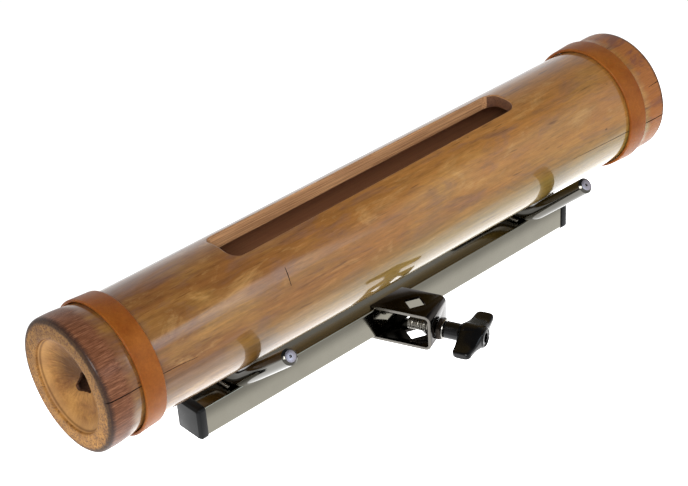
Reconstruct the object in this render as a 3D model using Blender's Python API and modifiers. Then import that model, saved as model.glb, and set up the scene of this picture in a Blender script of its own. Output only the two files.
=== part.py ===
"""Bamboo cata: a slotted bamboo log that lies in a steel cradle with a clamp for a stand post.

The origin is the stand post's axis at the middle height of the clamp bracket.
+X runs along the bamboo to its thicker end, -Y faces the player's front, +Z is up.
Places along X are given from the bracket's centre line where it meets the bar.
"""

import bpy
import bmesh
from math import cos, sin, tan, pi, radians, sqrt
from mathutils import Vector

MM = 0.001

# Clearances
SEAT_GAP = 0.3 * MM
THREAD_GAP = 0.3 * MM
CAP_GAP = 0.3 * MM

# Bamboo tube
TUBE_LENGTH = 445.2 * MM
TUBE_SHIFT = -1.0 * MM
TUBE_RADIUS_LEFT = 37.1 * MM
TUBE_RADIUS_RIGHT = 38.8 * MM
TUBE_WALL = 9.5 * MM
TUBE_EDGE_ROUND = 3.0 * MM
NODE_SWELL_LEFT = 2.4 * MM
NODE_SWELL_RIGHT = 1.5 * MM
NODE_CREST = 6.0 * MM
NODE_REACH = 36.0 * MM
RIM_STEP = 2.2 * MM
RIM_STEP_INSET = 1.4 * MM
RIM_BREAK = 0.9 * MM
SEPTUM_DEPTH = 11.5 * MM
SEPTUM_THICKNESS = 5.0 * MM
SEPTUM_HOLE_ROUND = 2.2 * MM
SEPTUM_HOLE_LEFT = [(-8.0 * MM, -7.0 * MM), (10.0 * MM, -12.0 * MM), (1.0 * MM, 5.5 * MM)]
SEPTUM_HOLE_RIGHT = [(-9.0 * MM, 1.0 * MM), (3.0 * MM, -8.5 * MM), (6.5 * MM, 7.0 * MM)]

# Slot in the top of the tube
SLOT_LENGTH = 228.0 * MM
SLOT_SHIFT = -3.0 * MM
SLOT_HALF_WIDTH_LEFT = 14.3 * MM
SLOT_HALF_WIDTH_RIGHT = 12.2 * MM
SLOT_CORNER_ROUND = 7.5 * MM

# Rubber bands
BAND_WIDTH = 14.6 * MM
BAND_THICKNESS = 2.0 * MM
BAND_EDGE_ROUND = 0.8 * MM
BAND_INSET_LEFT = 29.4 * MM
BAND_INSET_RIGHT = 28.1 * MM

# Square bar and its end caps
BAR_SIZE = 20.0 * MM
BAR_WALL = 1.2 * MM
BAR_CORNER_ROUND = 1.5 * MM
BAR_LENGTH = 299.4 * MM
BAR_SHIFT = 4.65 * MM
CAP_THICKNESS = 5.8 * MM
CAP_LIP = 0.8 * MM
CAP_CHAMFER = 1.6 * MM
CAP_PLUG_DEPTH = 12.0 * MM
CAP_PLUG_WALL = 1.6 * MM

# Cradle rods
ROD_DIAMETER = 10.0 * MM
ROD_SPACING = 241.0 * MM
ROD_SHIFT = 1.1 * MM
ROD_ARM_ANGLE_LEFT = radians(39.6)
ROD_ARM_ANGLE_RIGHT = radians(41.2)
ROD_REACH = 59.3 * MM
ROD_BEND_LEFT = 27.0 * MM
ROD_END_CHAMFER = 1.3 * MM
WELD_RADIUS = 1.4 * MM
WELD_LENGTH = 15.0 * MM

# Clamp bracket
STRAP_ANGLE = radians(22.5)
STRAP_WIDTH = 25.0 * MM
STRAP_THICKNESS = 1.8 * MM
STRAP_BEND_ROUND = 4.0 * MM
STRAP_LAP = 3.1 * MM
POST_DISTANCE = 15.5 * MM
POST_TO_FRONT_PLATE = 15.3 * MM
POST_HOLE_SIDE = 10.0 * MM

# Wing bolt, nut and washer
BOLT_DROP = 3.2 * MM
STUD_DIAMETER = 8.0 * MM
STUD_PAST_POST = 4.0 * MM
STUD_TIP_CHAMFER = 1.0 * MM
STUD_IN_HUB = 9.0 * MM
NUT_ACROSS_FLATS = 13.0 * MM
NUT_THICKNESS = 3.0 * MM
WASHER_DIAMETER = 13.0 * MM
WASHER_THICKNESS = 0.8 * MM
NECK_DIAMETER = 10.8 * MM
NECK_LENGTH = 9.6 * MM
HUB_DIAMETER = 14.6 * MM
HUB_END_DIAMETER = 13.0 * MM
HUB_LENGTH = 16.6 * MM
HUB_EDGE_ROUND = 1.6 * MM
HUB_HOLE_DIAMETER = 6.8 * MM
HUB_HOLE_DEPTH = 4.0 * MM
WING_SPAN = 43.0 * MM
WING_ROOT_WIDTH = 17.0 * MM
WING_TIP_WIDTH = 11.7 * MM
WING_CENTRE = 7.9 * MM
WING_THICKNESS = 4.8 * MM
WING_CORNER_ROUND = 3.2 * MM
WING_EDGE_ROUND = 1.4 * MM
WING_TILT = radians(3.5)

# Facets
TUBE_STEPS = 96
ROUND_STEPS = 48
ARC_STEPS = 6
ROD_STEPS = 8
WELD_STEPS = 2
NODE_STEPS = 6
DISH_STEPS = 7

# Places worked out from the sizes above
MIDDLE_X = -POST_DISTANCE * sin(STRAP_ANGLE)
BAR_FACE_Y = POST_DISTANCE * cos(STRAP_ANGLE)
BAR_Y = BAR_FACE_Y + BAR_SIZE / 2
BAR_TOP = BAR_SIZE / 2
ROD_LEFT_X = ROD_SHIFT - ROD_SPACING / 2
ROD_RIGHT_X = ROD_SHIFT + ROD_SPACING / 2
ROD_RADIUS = ROD_DIAMETER / 2
ROD_LOW = BAR_TOP + SEAT_GAP + ROD_RADIUS
TUBE_LEFT = TUBE_SHIFT - TUBE_LENGTH / 2
TUBE_RIGHT = TUBE_SHIFT + TUBE_LENGTH / 2


def tube_radius(x):
    """Outer radius of the cane at a place along it, without the swelling of its end nodes."""
    share = (x - TUBE_LEFT) / TUBE_LENGTH
    return TUBE_RADIUS_LEFT + share * (TUBE_RADIUS_RIGHT - TUBE_RADIUS_LEFT)


def swollen_radius(x):
    """Outer radius of the cane with the smooth swelling of the node at each end."""
    radius = tube_radius(x)
    for end, swell in ((TUBE_LEFT, NODE_SWELL_LEFT), (TUBE_RIGHT, NODE_SWELL_RIGHT)):
        share = (NODE_REACH - abs(x - end)) / (NODE_REACH - NODE_CREST)
        share = min(max(share, 0), 1)
        radius += swell * share * share * (3 - 2 * share)
    return radius


def rod_distance(x):
    """From the cane's axis to the centre line of the rod arm that carries it at x."""
    return tube_radius(x) + SEAT_GAP + ROD_RADIUS


APEX_RISE_LEFT = ROD_BEND_LEFT * (1 / cos(ROD_ARM_ANGLE_LEFT) - 1)
TUBE_Z = ROD_LOW - APEX_RISE_LEFT + rod_distance(ROD_LEFT_X) / cos(ROD_ARM_ANGLE_LEFT)


def rod_bend(x, arm_angle):
    """Bend radius of the rod at x, so that it meets the bar and both its arms meet the cane."""
    apex = TUBE_Z - rod_distance(x) / cos(arm_angle)
    return (ROD_LOW - apex) / (1 / cos(arm_angle) - 1)


# Scene and collections

for old in list(bpy.data.objects):
    bpy.data.objects.remove(old, do_unlink=True)


def collection(name):
    """A new collection in the scene."""
    made = bpy.data.collections.new(name)
    bpy.context.scene.collection.children.link(made)
    return made


PARTS = collection("bamboo_cata")
CUTTERS = collection("cutters")


def material(name, colour, roughness, metallic=0.0):
    """A plain Principled material."""
    made = bpy.data.materials.new(name)
    made.use_nodes = True
    shader = made.node_tree.nodes["Principled BSDF"]
    shader.inputs["Base Color"].default_value = (*colour, 1.0)
    shader.inputs["Roughness"].default_value = roughness
    shader.inputs["Metallic"].default_value = metallic
    return made


def place(name, data, shop, location=(0, 0, 0), rotation=(0, 0, 0), parent=None):
    """An object of the given data, put in a collection, placed and parented."""
    made = bpy.data.objects.new(name, data)
    shop.objects.link(made)
    made.location = location
    made.rotation_euler = rotation
    made.parent = parent
    return made


def empty(name, location, rotation=(0, 0, 0)):
    """A reference frame that pieces are parented to."""
    return place(name, None, PARTS, location, rotation)


def as_cutter(obj):
    """Hide an object that only shapes others."""
    obj.hide_render = True
    obj.display_type = "WIRE"
    return obj


def finish(obj, surface, smooth_angle=None):
    """Give a piece its material, and smooth shading where it is round."""
    obj.data.materials.clear()
    obj.data.materials.append(surface)
    if smooth_angle is not None:
        obj.data.shade_smooth()
        obj.data.set_sharp_from_angle(angle=smooth_angle)
    return obj


# Shape makers

def arc(centre, radius, start, end, steps=ARC_STEPS):
    """Points of an arc, angles in radians from the first axis."""
    points = []
    for step in range(steps + 1):
        angle = start + (end - start) * step / steps
        points.append((centre[0] + radius * cos(angle), centre[1] + radius * sin(angle)))
    return points


def rounded(corners, radius, steps=ARC_STEPS):
    """A closed outline through corner points, anticlockwise, each rounded by the same radius."""
    points = []
    count = len(corners)
    for index in range(count):
        corner = Vector(corners[index])
        before = (Vector(corners[index - 1]) - corner).normalized()
        after = (Vector(corners[(index + 1) % count]) - corner).normalized()
        half = before.angle(after) / 2
        centre = corner + (before + after).normalized() * (radius / sin(half))
        foot = corner + before * (radius / tan(half))
        start = (foot - centre)
        sweep = pi - 2 * half
        for step in range(steps + 1):
            angle = sweep * step / steps
            turned_x = start.x * cos(angle) - start.y * sin(angle)
            turned_y = start.x * sin(angle) + start.y * cos(angle)
            points.append((centre.x + turned_x, centre.y + turned_y))
    return points


def rectangle(width, height):
    """Corners of a rectangle round the origin, anticlockwise."""
    x = width / 2
    y = height / 2
    return [(-x, -y), (x, -y), (x, y), (-x, y)]


def curve_to_mesh(obj):
    """Replace a curve object by a mesh object with its caps welded on."""
    name = obj.name
    graph = bpy.context.evaluated_depsgraph_get()
    mesh = bpy.data.meshes.new_from_object(obj.evaluated_get(graph))
    work = bmesh.new()
    work.from_mesh(mesh)
    bmesh.ops.remove_doubles(work, verts=work.verts, dist=1e-6)
    bmesh.ops.recalc_face_normals(work, faces=work.faces)
    work.to_mesh(mesh)
    work.free()
    shop = obj.users_collection[0]
    location = obj.location.copy()
    rotation = obj.rotation_euler.copy()
    parent = obj.parent
    bpy.data.objects.remove(obj, do_unlink=True)
    mesh.name = name
    return place(name, mesh, shop, location, rotation, parent)


def plate(name, outlines, thickness, shop, location=(0, 0, 0), rotation=(0, 0, 0), parent=None):
    """A flat piece from closed outlines, its thickness shared evenly by both sides."""
    data = bpy.data.curves.new(name, "CURVE")
    data.dimensions = "2D"
    data.fill_mode = "BOTH"
    data.extrude = thickness / 2
    for outline in outlines:
        spline = data.splines.new("POLY")
        spline.points.add(len(outline) - 1)
        for point, (x, y) in zip(spline.points, outline):
            point.co = (x, y, 0, 1)
        spline.use_cyclic_u = True
    return curve_to_mesh(place(name, data, shop, location, rotation, parent))


def rod(name, path, radius, end_radii, shop, bevel=ROD_STEPS, parent=None):
    """A round bar along a path; end_radii are the shares of the radius at its two ends."""
    data = bpy.data.curves.new(name, "CURVE")
    data.dimensions = "3D"
    data.fill_mode = "FULL"
    data.bevel_depth = radius
    data.bevel_resolution = bevel
    data.use_fill_caps = True
    spline = data.splines.new("POLY")
    spline.points.add(len(path) - 1)
    for point, place_on_path in zip(spline.points, path):
        point.co = (*place_on_path, 1)
    spline.points[0].radius = end_radii[0]
    spline.points[-1].radius = end_radii[1]
    return curve_to_mesh(place(name, data, shop, parent=parent))


def turned(name, profile, shop, steps=ROUND_STEPS, location=(0, 0, 0), parent=None):
    """A turned piece on the X axis; profile is (radius, place along X), from +X to -X."""
    mesh = bpy.data.meshes.new(name)
    work = bmesh.new()
    corners = [work.verts.new((radius, 0, along)) for radius, along in profile]
    for first, second in zip(corners, corners[1:]):
        work.edges.new((first, second))
    if profile[0][0] > 0:
        work.edges.new((corners[-1], corners[0]))
    work.to_mesh(mesh)
    work.free()
    made = place(name, mesh, shop, location, (0, radians(90), 0), parent)
    screw = made.modifiers.new("turn", "SCREW")
    screw.axis = "Z"
    screw.angle = radians(360)
    screw.steps = steps
    screw.render_steps = steps
    screw.use_merge_vertices = True
    screw.merge_threshold = 1e-6
    return made


def rounded_box(name, size, shop, location, corner_round=0.0, chamfer=0.0, parent=None):
    """A box whose edges along X are rounded, with the edges of its +X face chamfered."""
    work = bmesh.new()
    bmesh.ops.create_cube(work, size=1.0)
    bmesh.ops.scale(work, vec=size, verts=work.verts)
    if corner_round:
        along = [e for e in work.edges if abs(e.verts[0].co.x - e.verts[1].co.x) > size[0] / 2]
        bmesh.ops.bevel(work, geom=along, offset=corner_round, segments=ARC_STEPS, profile=0.5,
                        affect="EDGES")
    if chamfer:
        front = [e for e in work.edges if min(v.co.x for v in e.verts) > size[0] * 0.49]
        bmesh.ops.bevel(work, geom=front, offset=chamfer, segments=1, affect="EDGES")
    mesh = bpy.data.meshes.new(name)
    work.to_mesh(mesh)
    work.free()
    return place(name, mesh, shop, location, parent=parent)


def cylinder_x(name, radius, start, end, shop, parent=None, sides=ROUND_STEPS):
    """A cylinder on the X axis between two places."""
    work = bmesh.new()
    bmesh.ops.create_cone(work, cap_ends=True, segments=sides, radius1=radius, radius2=radius,
                          depth=end - start)
    mesh = bpy.data.meshes.new(name)
    work.to_mesh(mesh)
    work.free()
    return place(name, mesh, shop, ((start + end) / 2, 0, 0), (0, radians(90), 0), parent)


def cut(obj, cutter, operation="DIFFERENCE"):
    """Cut or join with another object."""
    boolean = obj.modifiers.new(cutter.name, "BOOLEAN")
    boolean.object = cutter
    boolean.operation = operation
    boolean.solver = "EXACT"


# Reference frames

HOLDER = empty("holder_frame", (MIDDLE_X, BAR_Y, 0))
CANE = empty("cane_axis", (MIDDLE_X, BAR_Y, TUBE_Z))
CLAMP = empty("clamp_axis", (0, 0, 0), (0, 0, STRAP_ANGLE - radians(90)))
BOLT = empty("wing_bolt_axis", (0, 0, -BOLT_DROP), (0, 0, STRAP_ANGLE - radians(90)))


# Bamboo tube: one length of cane with the wall at each end node left in, and a slot on top

def end_profile(end, side):
    """The end of the cane from its axis outwards: dished node wall, rim and rounded edge."""
    outer = swollen_radius(end)
    rim = tube_radius(end) - TUBE_WALL
    dish = rim - RIM_STEP_INSET
    points = []
    for ring in range(DISH_STEPS + 1):
        share = ring / DISH_STEPS
        depth = RIM_STEP + (SEPTUM_DEPTH - RIM_STEP) * (1 - share ** 2)
        points.append((dish * share, end - side * depth))
    points.append((rim, end - side * RIM_BREAK))
    points.append((rim + RIM_BREAK, end))
    for radius, along in arc((outer - TUBE_EDGE_ROUND, 0), TUBE_EDGE_ROUND, radians(90), 0, 4):
        points.append((radius, end - side * (TUBE_EDGE_ROUND - along)))
    for step in range(NODE_STEPS + 1):
        x = end - side * (NODE_CREST + (NODE_REACH - NODE_CREST) * step / NODE_STEPS)
        points.append((swollen_radius(x), x))
    return points


def bamboo_tube():
    """Cane with its bore, slot and the broken-through holes of its end walls."""
    right = end_profile(TUBE_RIGHT, 1)
    left = end_profile(TUBE_LEFT, -1)
    tube = turned("bamboo_tube", right + left[::-1], PARTS, TUBE_STEPS, parent=CANE)

    bore_left = TUBE_LEFT + SEPTUM_DEPTH + SEPTUM_THICKNESS
    bore_right = TUBE_RIGHT - SEPTUM_DEPTH - SEPTUM_THICKNESS
    bore = turned("bore_cutter", [(0, bore_right), (tube_radius(bore_right) - TUBE_WALL, bore_right),
                                  (tube_radius(bore_left) - TUBE_WALL, bore_left), (0, bore_left)],
                  CUTTERS, TUBE_STEPS, parent=CANE)
    cut(tube, as_cutter(bore))

    half = SLOT_LENGTH / 2
    corners = [(SLOT_SHIFT - half, -SLOT_HALF_WIDTH_LEFT), (SLOT_SHIFT + half, -SLOT_HALF_WIDTH_RIGHT),
               (SLOT_SHIFT + half, SLOT_HALF_WIDTH_RIGHT), (SLOT_SHIFT - half, SLOT_HALF_WIDTH_LEFT)]
    reach = TUBE_RADIUS_RIGHT + TUBE_WALL
    slot = plate("slot_cutter", [rounded(corners, SLOT_CORNER_ROUND)], reach, CUTTERS,
                 (0, 0, reach / 2), parent=CANE)
    cut(tube, as_cutter(slot))

    side_view = (radians(90), 0, radians(90))
    middle = SEPTUM_DEPTH + SEPTUM_THICKNESS / 2
    depth = 2 * (SEPTUM_DEPTH + SEPTUM_THICKNESS)
    for name, corners, x in (("hole_cutter_left", SEPTUM_HOLE_LEFT, TUBE_LEFT + middle),
                             ("hole_cutter_right", SEPTUM_HOLE_RIGHT, TUBE_RIGHT - middle)):
        hole = plate(name, [rounded(corners, SEPTUM_HOLE_ROUND)], depth, CUTTERS, (x, 0, 0),
                     side_view, CANE)
        cut(tube, as_cutter(hole))
    return finish(tube, material("bamboo", (0.42, 0.20, 0.07), 0.25), radians(35))


# Rubber bands: flat moulded rings stretched round the cane near its ends

def rubber_band(name, x, surface):
    """A band that follows the cane's taper with a small gap."""
    half = BAND_WIDTH / 2
    inner_right = swollen_radius(x + half) + SEAT_GAP
    inner_left = swollen_radius(x - half) + SEAT_GAP
    outer_right = inner_right + BAND_THICKNESS
    outer_left = inner_left + BAND_THICKNESS
    edge = BAND_EDGE_ROUND
    profile = [(inner_right, half)]
    profile += arc((outer_right - edge, half - edge), edge, radians(90), 0, 3)
    profile += arc((outer_left - edge, edge - half), edge, 0, radians(-90), 3)
    profile += [(inner_left, -half)]
    band = turned(name, profile, PARTS, TUBE_STEPS, (x, 0, 0), CANE)
    return finish(band, surface, radians(35))


# Square bar with a plastic plug in each end

def bar():
    """Square steel tube, cut to length."""
    outer = rounded(rectangle(BAR_SIZE, BAR_SIZE), BAR_CORNER_ROUND)
    inside = BAR_SIZE - 2 * BAR_WALL
    inner = rounded(rectangle(inside, inside), BAR_CORNER_ROUND - BAR_WALL)
    made = plate("bar", [outer, inner[::-1]], BAR_LENGTH, PARTS, (BAR_SHIFT, 0, 0),
                 (radians(90), 0, radians(90)), HOLDER)
    return finish(made, material("black_nickel_bar", (0.30, 0.29, 0.27), 0.18, 1.0), radians(30))


def end_cap(name, side, surface):
    """Cap with a hollow plug that pushes into the bar; side is 1 for the right end."""
    frame = empty(name + "_frame", (0, 0, 0))
    frame.parent = HOLDER
    frame.location = (BAR_SHIFT + side * (BAR_LENGTH / 2 + CAP_GAP), 0, 0)
    frame.rotation_euler = (0, 0, 0 if side > 0 else radians(180))
    head = BAR_SIZE + 2 * CAP_LIP
    size = (CAP_THICKNESS, head, head)
    corner_round = BAR_CORNER_ROUND + CAP_LIP
    cap = rounded_box(name, size, PARTS, (CAP_THICKNESS / 2, 0, 0), corner_round, CAP_CHAMFER,
                      frame)
    plug_side = BAR_SIZE - 2 * BAR_WALL - 2 * CAP_GAP
    joined = CAP_THICKNESS / 2
    plug_size = (CAP_PLUG_DEPTH + joined, plug_side, plug_side)
    plug = rounded_box(name + "_plug", plug_size, CUTTERS, (joined - plug_size[0] / 2, 0, 0),
                       parent=frame)
    cut(cap, as_cutter(plug), "UNION")
    hollow_side = plug_side - 2 * CAP_PLUG_WALL
    hollow_size = (2 * CAP_PLUG_DEPTH, hollow_side, hollow_side)
    hollow = rounded_box(name + "_hollow", hollow_size, CUTTERS, (-CAP_PLUG_DEPTH - SEAT_GAP, 0, 0),
                         parent=frame)
    cut(cap, as_cutter(hollow))
    return finish(cap, surface)


# Cradle: two bent rods welded across the bar

def cradle_rod(name, x, turn, surface):
    """A rod bent to a V, tangent to the cane on both arms and resting on the bar."""
    bend = rod_bend(x, turn)
    centre_z = ROD_LOW + bend
    half_path = []
    for step in range(ARC_STEPS + 1):
        angle = turn * step / ARC_STEPS
        half_path.append((bend * sin(angle), centre_z - bend * cos(angle)))
    last_y, last_z = half_path[-1]
    end = (ROD_REACH, last_z + (ROD_REACH - last_y) * tan(turn))
    chamfer_start = (end[0] - ROD_END_CHAMFER * cos(turn), end[1] - ROD_END_CHAMFER * sin(turn))
    half_path += [chamfer_start, end]
    path = [(x, -y, z) for y, z in reversed(half_path[1:])]
    path += [(x, y, z) for y, z in half_path]
    end_share = 1 - ROD_END_CHAMFER / ROD_RADIUS
    made = rod(name, path, ROD_RADIUS, (end_share, end_share), PARTS, parent=HOLDER)
    return finish(made, surface, radians(35))


def weld_bead(name, x, side, surface):
    """A bead between the bar's top and one flank of a rod."""
    away = sqrt((ROD_RADIUS + SEAT_GAP + WELD_RADIUS) ** 2 - (ROD_RADIUS - WELD_RADIUS) ** 2)
    height = BAR_TOP + SEAT_GAP + WELD_RADIUS
    half = WELD_LENGTH / 2
    spots = (-half, -half + WELD_RADIUS, half - WELD_RADIUS, half)
    path = [(x + side * away, y, height) for y in spots]
    made = rod(name, path, WELD_RADIUS, (0.5, 0.5), PARTS, WELD_STEPS, HOLDER)
    return finish(made, surface, radians(50))


# Clamp: a U-shaped strap round the bar's front, with square holes for the stand post

INNER_HEIGHT = BAR_SIZE / 2 + SEAT_GAP
OUTER_HEIGHT = INNER_HEIGHT + STRAP_THICKNESS
NUT_START = POST_TO_FRONT_PLATE + SEAT_GAP
WASHER_START = NUT_START + NUT_THICKNESS + SEAT_GAP
NECK_START = WASHER_START + WASHER_THICKNESS + SEAT_GAP
HUB_START = NECK_START + NECK_LENGTH
HUB_END = HUB_START + HUB_LENGTH
STUD_RADIUS = STUD_DIAMETER / 2


def bolt_hole():
    """The round hole for the wing bolt through the front plate, nut and washer."""
    start = POST_TO_FRONT_PLATE - 3 * STRAP_THICKNESS
    return as_cutter(cylinder_x("bolt_hole_cutter", STUD_RADIUS + THREAD_GAP, start, NECK_START,
                                CUTTERS, BOLT))


def clamp_bracket(hole):
    """Strap bent to a U, its two ends cut parallel to the bar and lapping it."""
    front = POST_TO_FRONT_PLATE
    back = -POST_DISTANCE - STRAP_WIDTH
    outer_bend = front - STRAP_BEND_ROUND
    inner_round = STRAP_BEND_ROUND - STRAP_THICKNESS
    quarter = radians(90)
    outline = [(back, -OUTER_HEIGHT)]
    outline += arc((outer_bend, STRAP_BEND_ROUND - OUTER_HEIGHT), STRAP_BEND_ROUND, -quarter, 0)
    outline += arc((outer_bend, OUTER_HEIGHT - STRAP_BEND_ROUND), STRAP_BEND_ROUND, 0, quarter)
    outline += [(back, OUTER_HEIGHT), (back, INNER_HEIGHT)]
    outline += arc((outer_bend, OUTER_HEIGHT - STRAP_BEND_ROUND), inner_round, quarter, 0)
    outline += arc((outer_bend, STRAP_BEND_ROUND - OUTER_HEIGHT), inner_round, 0, -quarter)
    outline += [(back, -INNER_HEIGHT)]
    strap = plate("clamp_bracket", [outline], STRAP_WIDTH, PARTS, (0, 0, 0), (quarter, 0, 0), CLAMP)

    room = 4 * STRAP_WIDTH
    behind = rounded_box("strap_end_cutter", (room, room, room), CUTTERS,
                         (0, BAR_FACE_Y + STRAP_LAP + room / 2, 0))
    cut(strap, as_cutter(behind))
    size = (POST_HOLE_SIDE, POST_HOLE_SIDE, 4 * OUTER_HEIGHT)
    post = rounded_box("post_hole_cutter", size, CUTTERS, (0, 0, 0), parent=CLAMP)
    post.rotation_euler = (0, 0, radians(45))
    cut(strap, as_cutter(post))
    cut(strap, hole)
    return finish(strap, material("black_nickel_bracket", (0.27, 0.25, 0.24), 0.16, 1.0), radians(30))


def clamp_nut(hole):
    """Thin hexagon nut welded to the front plate."""
    corner = NUT_ACROSS_FLATS / 2 / cos(radians(30))
    nut = cylinder_x("clamp_nut", corner, NUT_START, NUT_START + NUT_THICKNESS, PARTS, BOLT, 6)
    cut(nut, hole)
    return finish(nut, material("black_steel", (0.03, 0.03, 0.03), 0.4, 1.0), radians(30))


def washer(hole):
    """Plain washer between the nut and the knob's neck."""
    disc = cylinder_x("washer", WASHER_DIAMETER / 2, WASHER_START, WASHER_START + WASHER_THICKNESS,
                      PARTS, BOLT)
    cut(disc, hole)
    return finish(disc, material("bright_steel", (0.75, 0.74, 0.72), 0.15, 1.0), radians(30))


# Wing bolt: a steel stud moulded into a plastic wing knob

def bolt_stud():
    """Threaded stud, modelled as its plain outer cylinder with a chamfered tip."""
    tip = -STUD_PAST_POST
    head = HUB_START + STUD_IN_HUB
    profile = [(0, head), (STUD_RADIUS, head), (STUD_RADIUS, tip + STUD_TIP_CHAMFER),
               (STUD_RADIUS - STUD_TIP_CHAMFER, tip), (0, tip)]
    stud = turned("bolt_stud", profile, PARTS, parent=BOLT)
    return finish(stud, material("zinc_stud", (0.72, 0.70, 0.66), 0.22, 1.0), radians(30))


def wing_knob():
    """Round neck and hub with two flat wings across them."""
    neck = NECK_DIAMETER / 2
    hub = HUB_DIAMETER / 2
    face = HUB_END_DIAMETER / 2
    profile = [(0, HUB_END)]
    profile += arc((face - HUB_EDGE_ROUND, HUB_END - HUB_EDGE_ROUND), HUB_EDGE_ROUND, radians(90), 0, 4)
    profile += [(hub, HUB_START + (hub - neck)), (neck, HUB_START), (neck, NECK_START),
                (0, NECK_START)]
    knob = turned("wing_knob", profile, PARTS, parent=BOLT)

    centre = HUB_START + WING_CENTRE
    tip = WING_TIP_WIDTH / 2
    root = WING_ROOT_WIDTH / 2
    span = WING_SPAN / 2
    corners = [(centre + root, 0), (centre + tip, span), (centre - tip, span), (centre - root, 0),
               (centre - tip, -span), (centre + tip, -span)]
    wings = plate("wings", [rounded(corners, WING_CORNER_ROUND)], WING_THICKNESS, CUTTERS,
                  (0, 0, 0), (WING_TILT, 0, 0), BOLT)
    edges = wings.modifiers.new("edges", "BEVEL")
    edges.width = WING_EDGE_ROUND
    edges.segments = 3
    edges.limit_method = "ANGLE"
    edges.angle_limit = radians(60)
    cut(knob, as_cutter(wings), "UNION")

    bore = cylinder_x("stud_bore_cutter", STUD_RADIUS + THREAD_GAP, NECK_START - SEAT_GAP,
                      HUB_START + STUD_IN_HUB + SEAT_GAP, CUTTERS, BOLT)
    cut(knob, as_cutter(bore))
    recess = cylinder_x("hub_hole_cutter", HUB_HOLE_DIAMETER / 2, HUB_END - HUB_HOLE_DEPTH,
                        HUB_END + HUB_HOLE_DEPTH, CUTTERS, BOLT)
    cut(knob, as_cutter(recess))
    return finish(knob, material("black_plastic", (0.02, 0.02, 0.02), 0.35), radians(40))


# Build

bamboo_tube()
RUBBER = material("amber_rubber", (0.45, 0.16, 0.03), 0.45)
rubber_band("rubber_band_left", TUBE_LEFT + BAND_INSET_LEFT, RUBBER)
rubber_band("rubber_band_right", TUBE_RIGHT - BAND_INSET_RIGHT, RUBBER)

bar()
CAP_PLASTIC = material("cap_plastic", (0.03, 0.03, 0.03), 0.45)
end_cap("end_cap_left", -1, CAP_PLASTIC)
end_cap("end_cap_right", 1, CAP_PLASTIC)

ROD_PLATE = material("chrome_rod", (0.62, 0.60, 0.57), 0.12, 1.0)
WELD_METAL = material("weld_metal", (0.40, 0.38, 0.35), 0.35, 1.0)
cradle_rod("cradle_rod_left", ROD_LEFT_X, ROD_ARM_ANGLE_LEFT, ROD_PLATE)
weld_bead("weld_left_outer", ROD_LEFT_X, -1, WELD_METAL)
weld_bead("weld_left_inner", ROD_LEFT_X, 1, WELD_METAL)
cradle_rod("cradle_rod_right", ROD_RIGHT_X, ROD_ARM_ANGLE_RIGHT, ROD_PLATE)
weld_bead("weld_right_inner", ROD_RIGHT_X, -1, WELD_METAL)
weld_bead("weld_right_outer", ROD_RIGHT_X, 1, WELD_METAL)

BOLT_HOLE = bolt_hole()
clamp_bracket(BOLT_HOLE)
clamp_nut(BOLT_HOLE)
washer(BOLT_HOLE)
bolt_stud()
wing_knob()
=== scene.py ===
from math import asin, cos, pi, radians, sin, sqrt, tan

import bmesh
import bpy
from mathutils import Matrix, Vector, noise


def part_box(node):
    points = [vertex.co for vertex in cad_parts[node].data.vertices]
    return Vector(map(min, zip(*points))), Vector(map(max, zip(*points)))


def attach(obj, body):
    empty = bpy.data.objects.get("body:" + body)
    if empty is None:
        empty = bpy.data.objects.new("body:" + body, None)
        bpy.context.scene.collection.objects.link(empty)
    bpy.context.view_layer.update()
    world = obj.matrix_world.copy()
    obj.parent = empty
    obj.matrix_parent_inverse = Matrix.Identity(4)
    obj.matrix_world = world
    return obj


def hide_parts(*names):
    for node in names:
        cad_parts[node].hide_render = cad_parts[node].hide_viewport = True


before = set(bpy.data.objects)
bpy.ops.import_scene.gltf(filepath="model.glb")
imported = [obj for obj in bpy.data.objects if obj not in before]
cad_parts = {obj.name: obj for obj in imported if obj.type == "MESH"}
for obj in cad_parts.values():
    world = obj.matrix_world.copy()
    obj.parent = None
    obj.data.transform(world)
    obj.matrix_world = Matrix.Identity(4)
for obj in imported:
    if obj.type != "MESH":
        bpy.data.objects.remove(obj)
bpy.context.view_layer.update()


# Camera
# The photograph's own camera, found from the rims of the cane and the edges of the bar.
# It looks down on the cane's thinner end from about a metre away with a long lens.

camera_data = bpy.data.cameras.new("photo_camera")
camera_data.lens = 91.08
camera_data.sensor_width = 36.0
camera_data.clip_start = 0.05
camera_data.shift_x = -0.5 / 688
camera_data.shift_y = 0.5 / 688
camera = bpy.data.objects.new("photo_camera", camera_data)
camera.location = (-0.59185, -0.63658, 0.60419)
camera.rotation_euler = (radians(57.733), radians(3.525), radians(-42.527))
bpy.context.scene.collection.objects.link(camera)
bpy.context.scene.camera = camera


# Cane
# One length of mature bamboo, sawn just outside two of its nodes, slotted on top and lacquered all
# over. The node walls are left in as dished discs, each broken through; the rims are scorched.

MM = 0.001

cane_low, cane_high = [Vector(corner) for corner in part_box("bamboo_tube")]
cane_y = (cane_low.y + cane_high.y) / 2
cane_z = (cane_low.z + cane_high.z) / 2
cane_left = cane_low.x
cane_right = cane_high.x
cane_middle = (cane_left + cane_right) / 2
cane_length = cane_right - cane_left
shaft_radius_left = 37.1 * MM
shaft_radius_right = 38.8 * MM
wall = 9.5 * MM
thin_wall_left = 9.5 * MM
thin_wall_right = 7.4 * MM
rim_round = 3.0 * MM
rim_break = 0.9 * MM
node_crest = 6.0 * MM
node_reach = 36.0 * MM
swell_left = 2.4 * MM
swell_right = 1.5 * MM
dish_step = 2.5 * MM
dish_inset = 0.7 * MM
dish_depth = 11.5 * MM
node_wall = 5.0 * MM
deepest_dent = 0.35 * MM
cane_steps = 240


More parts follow.
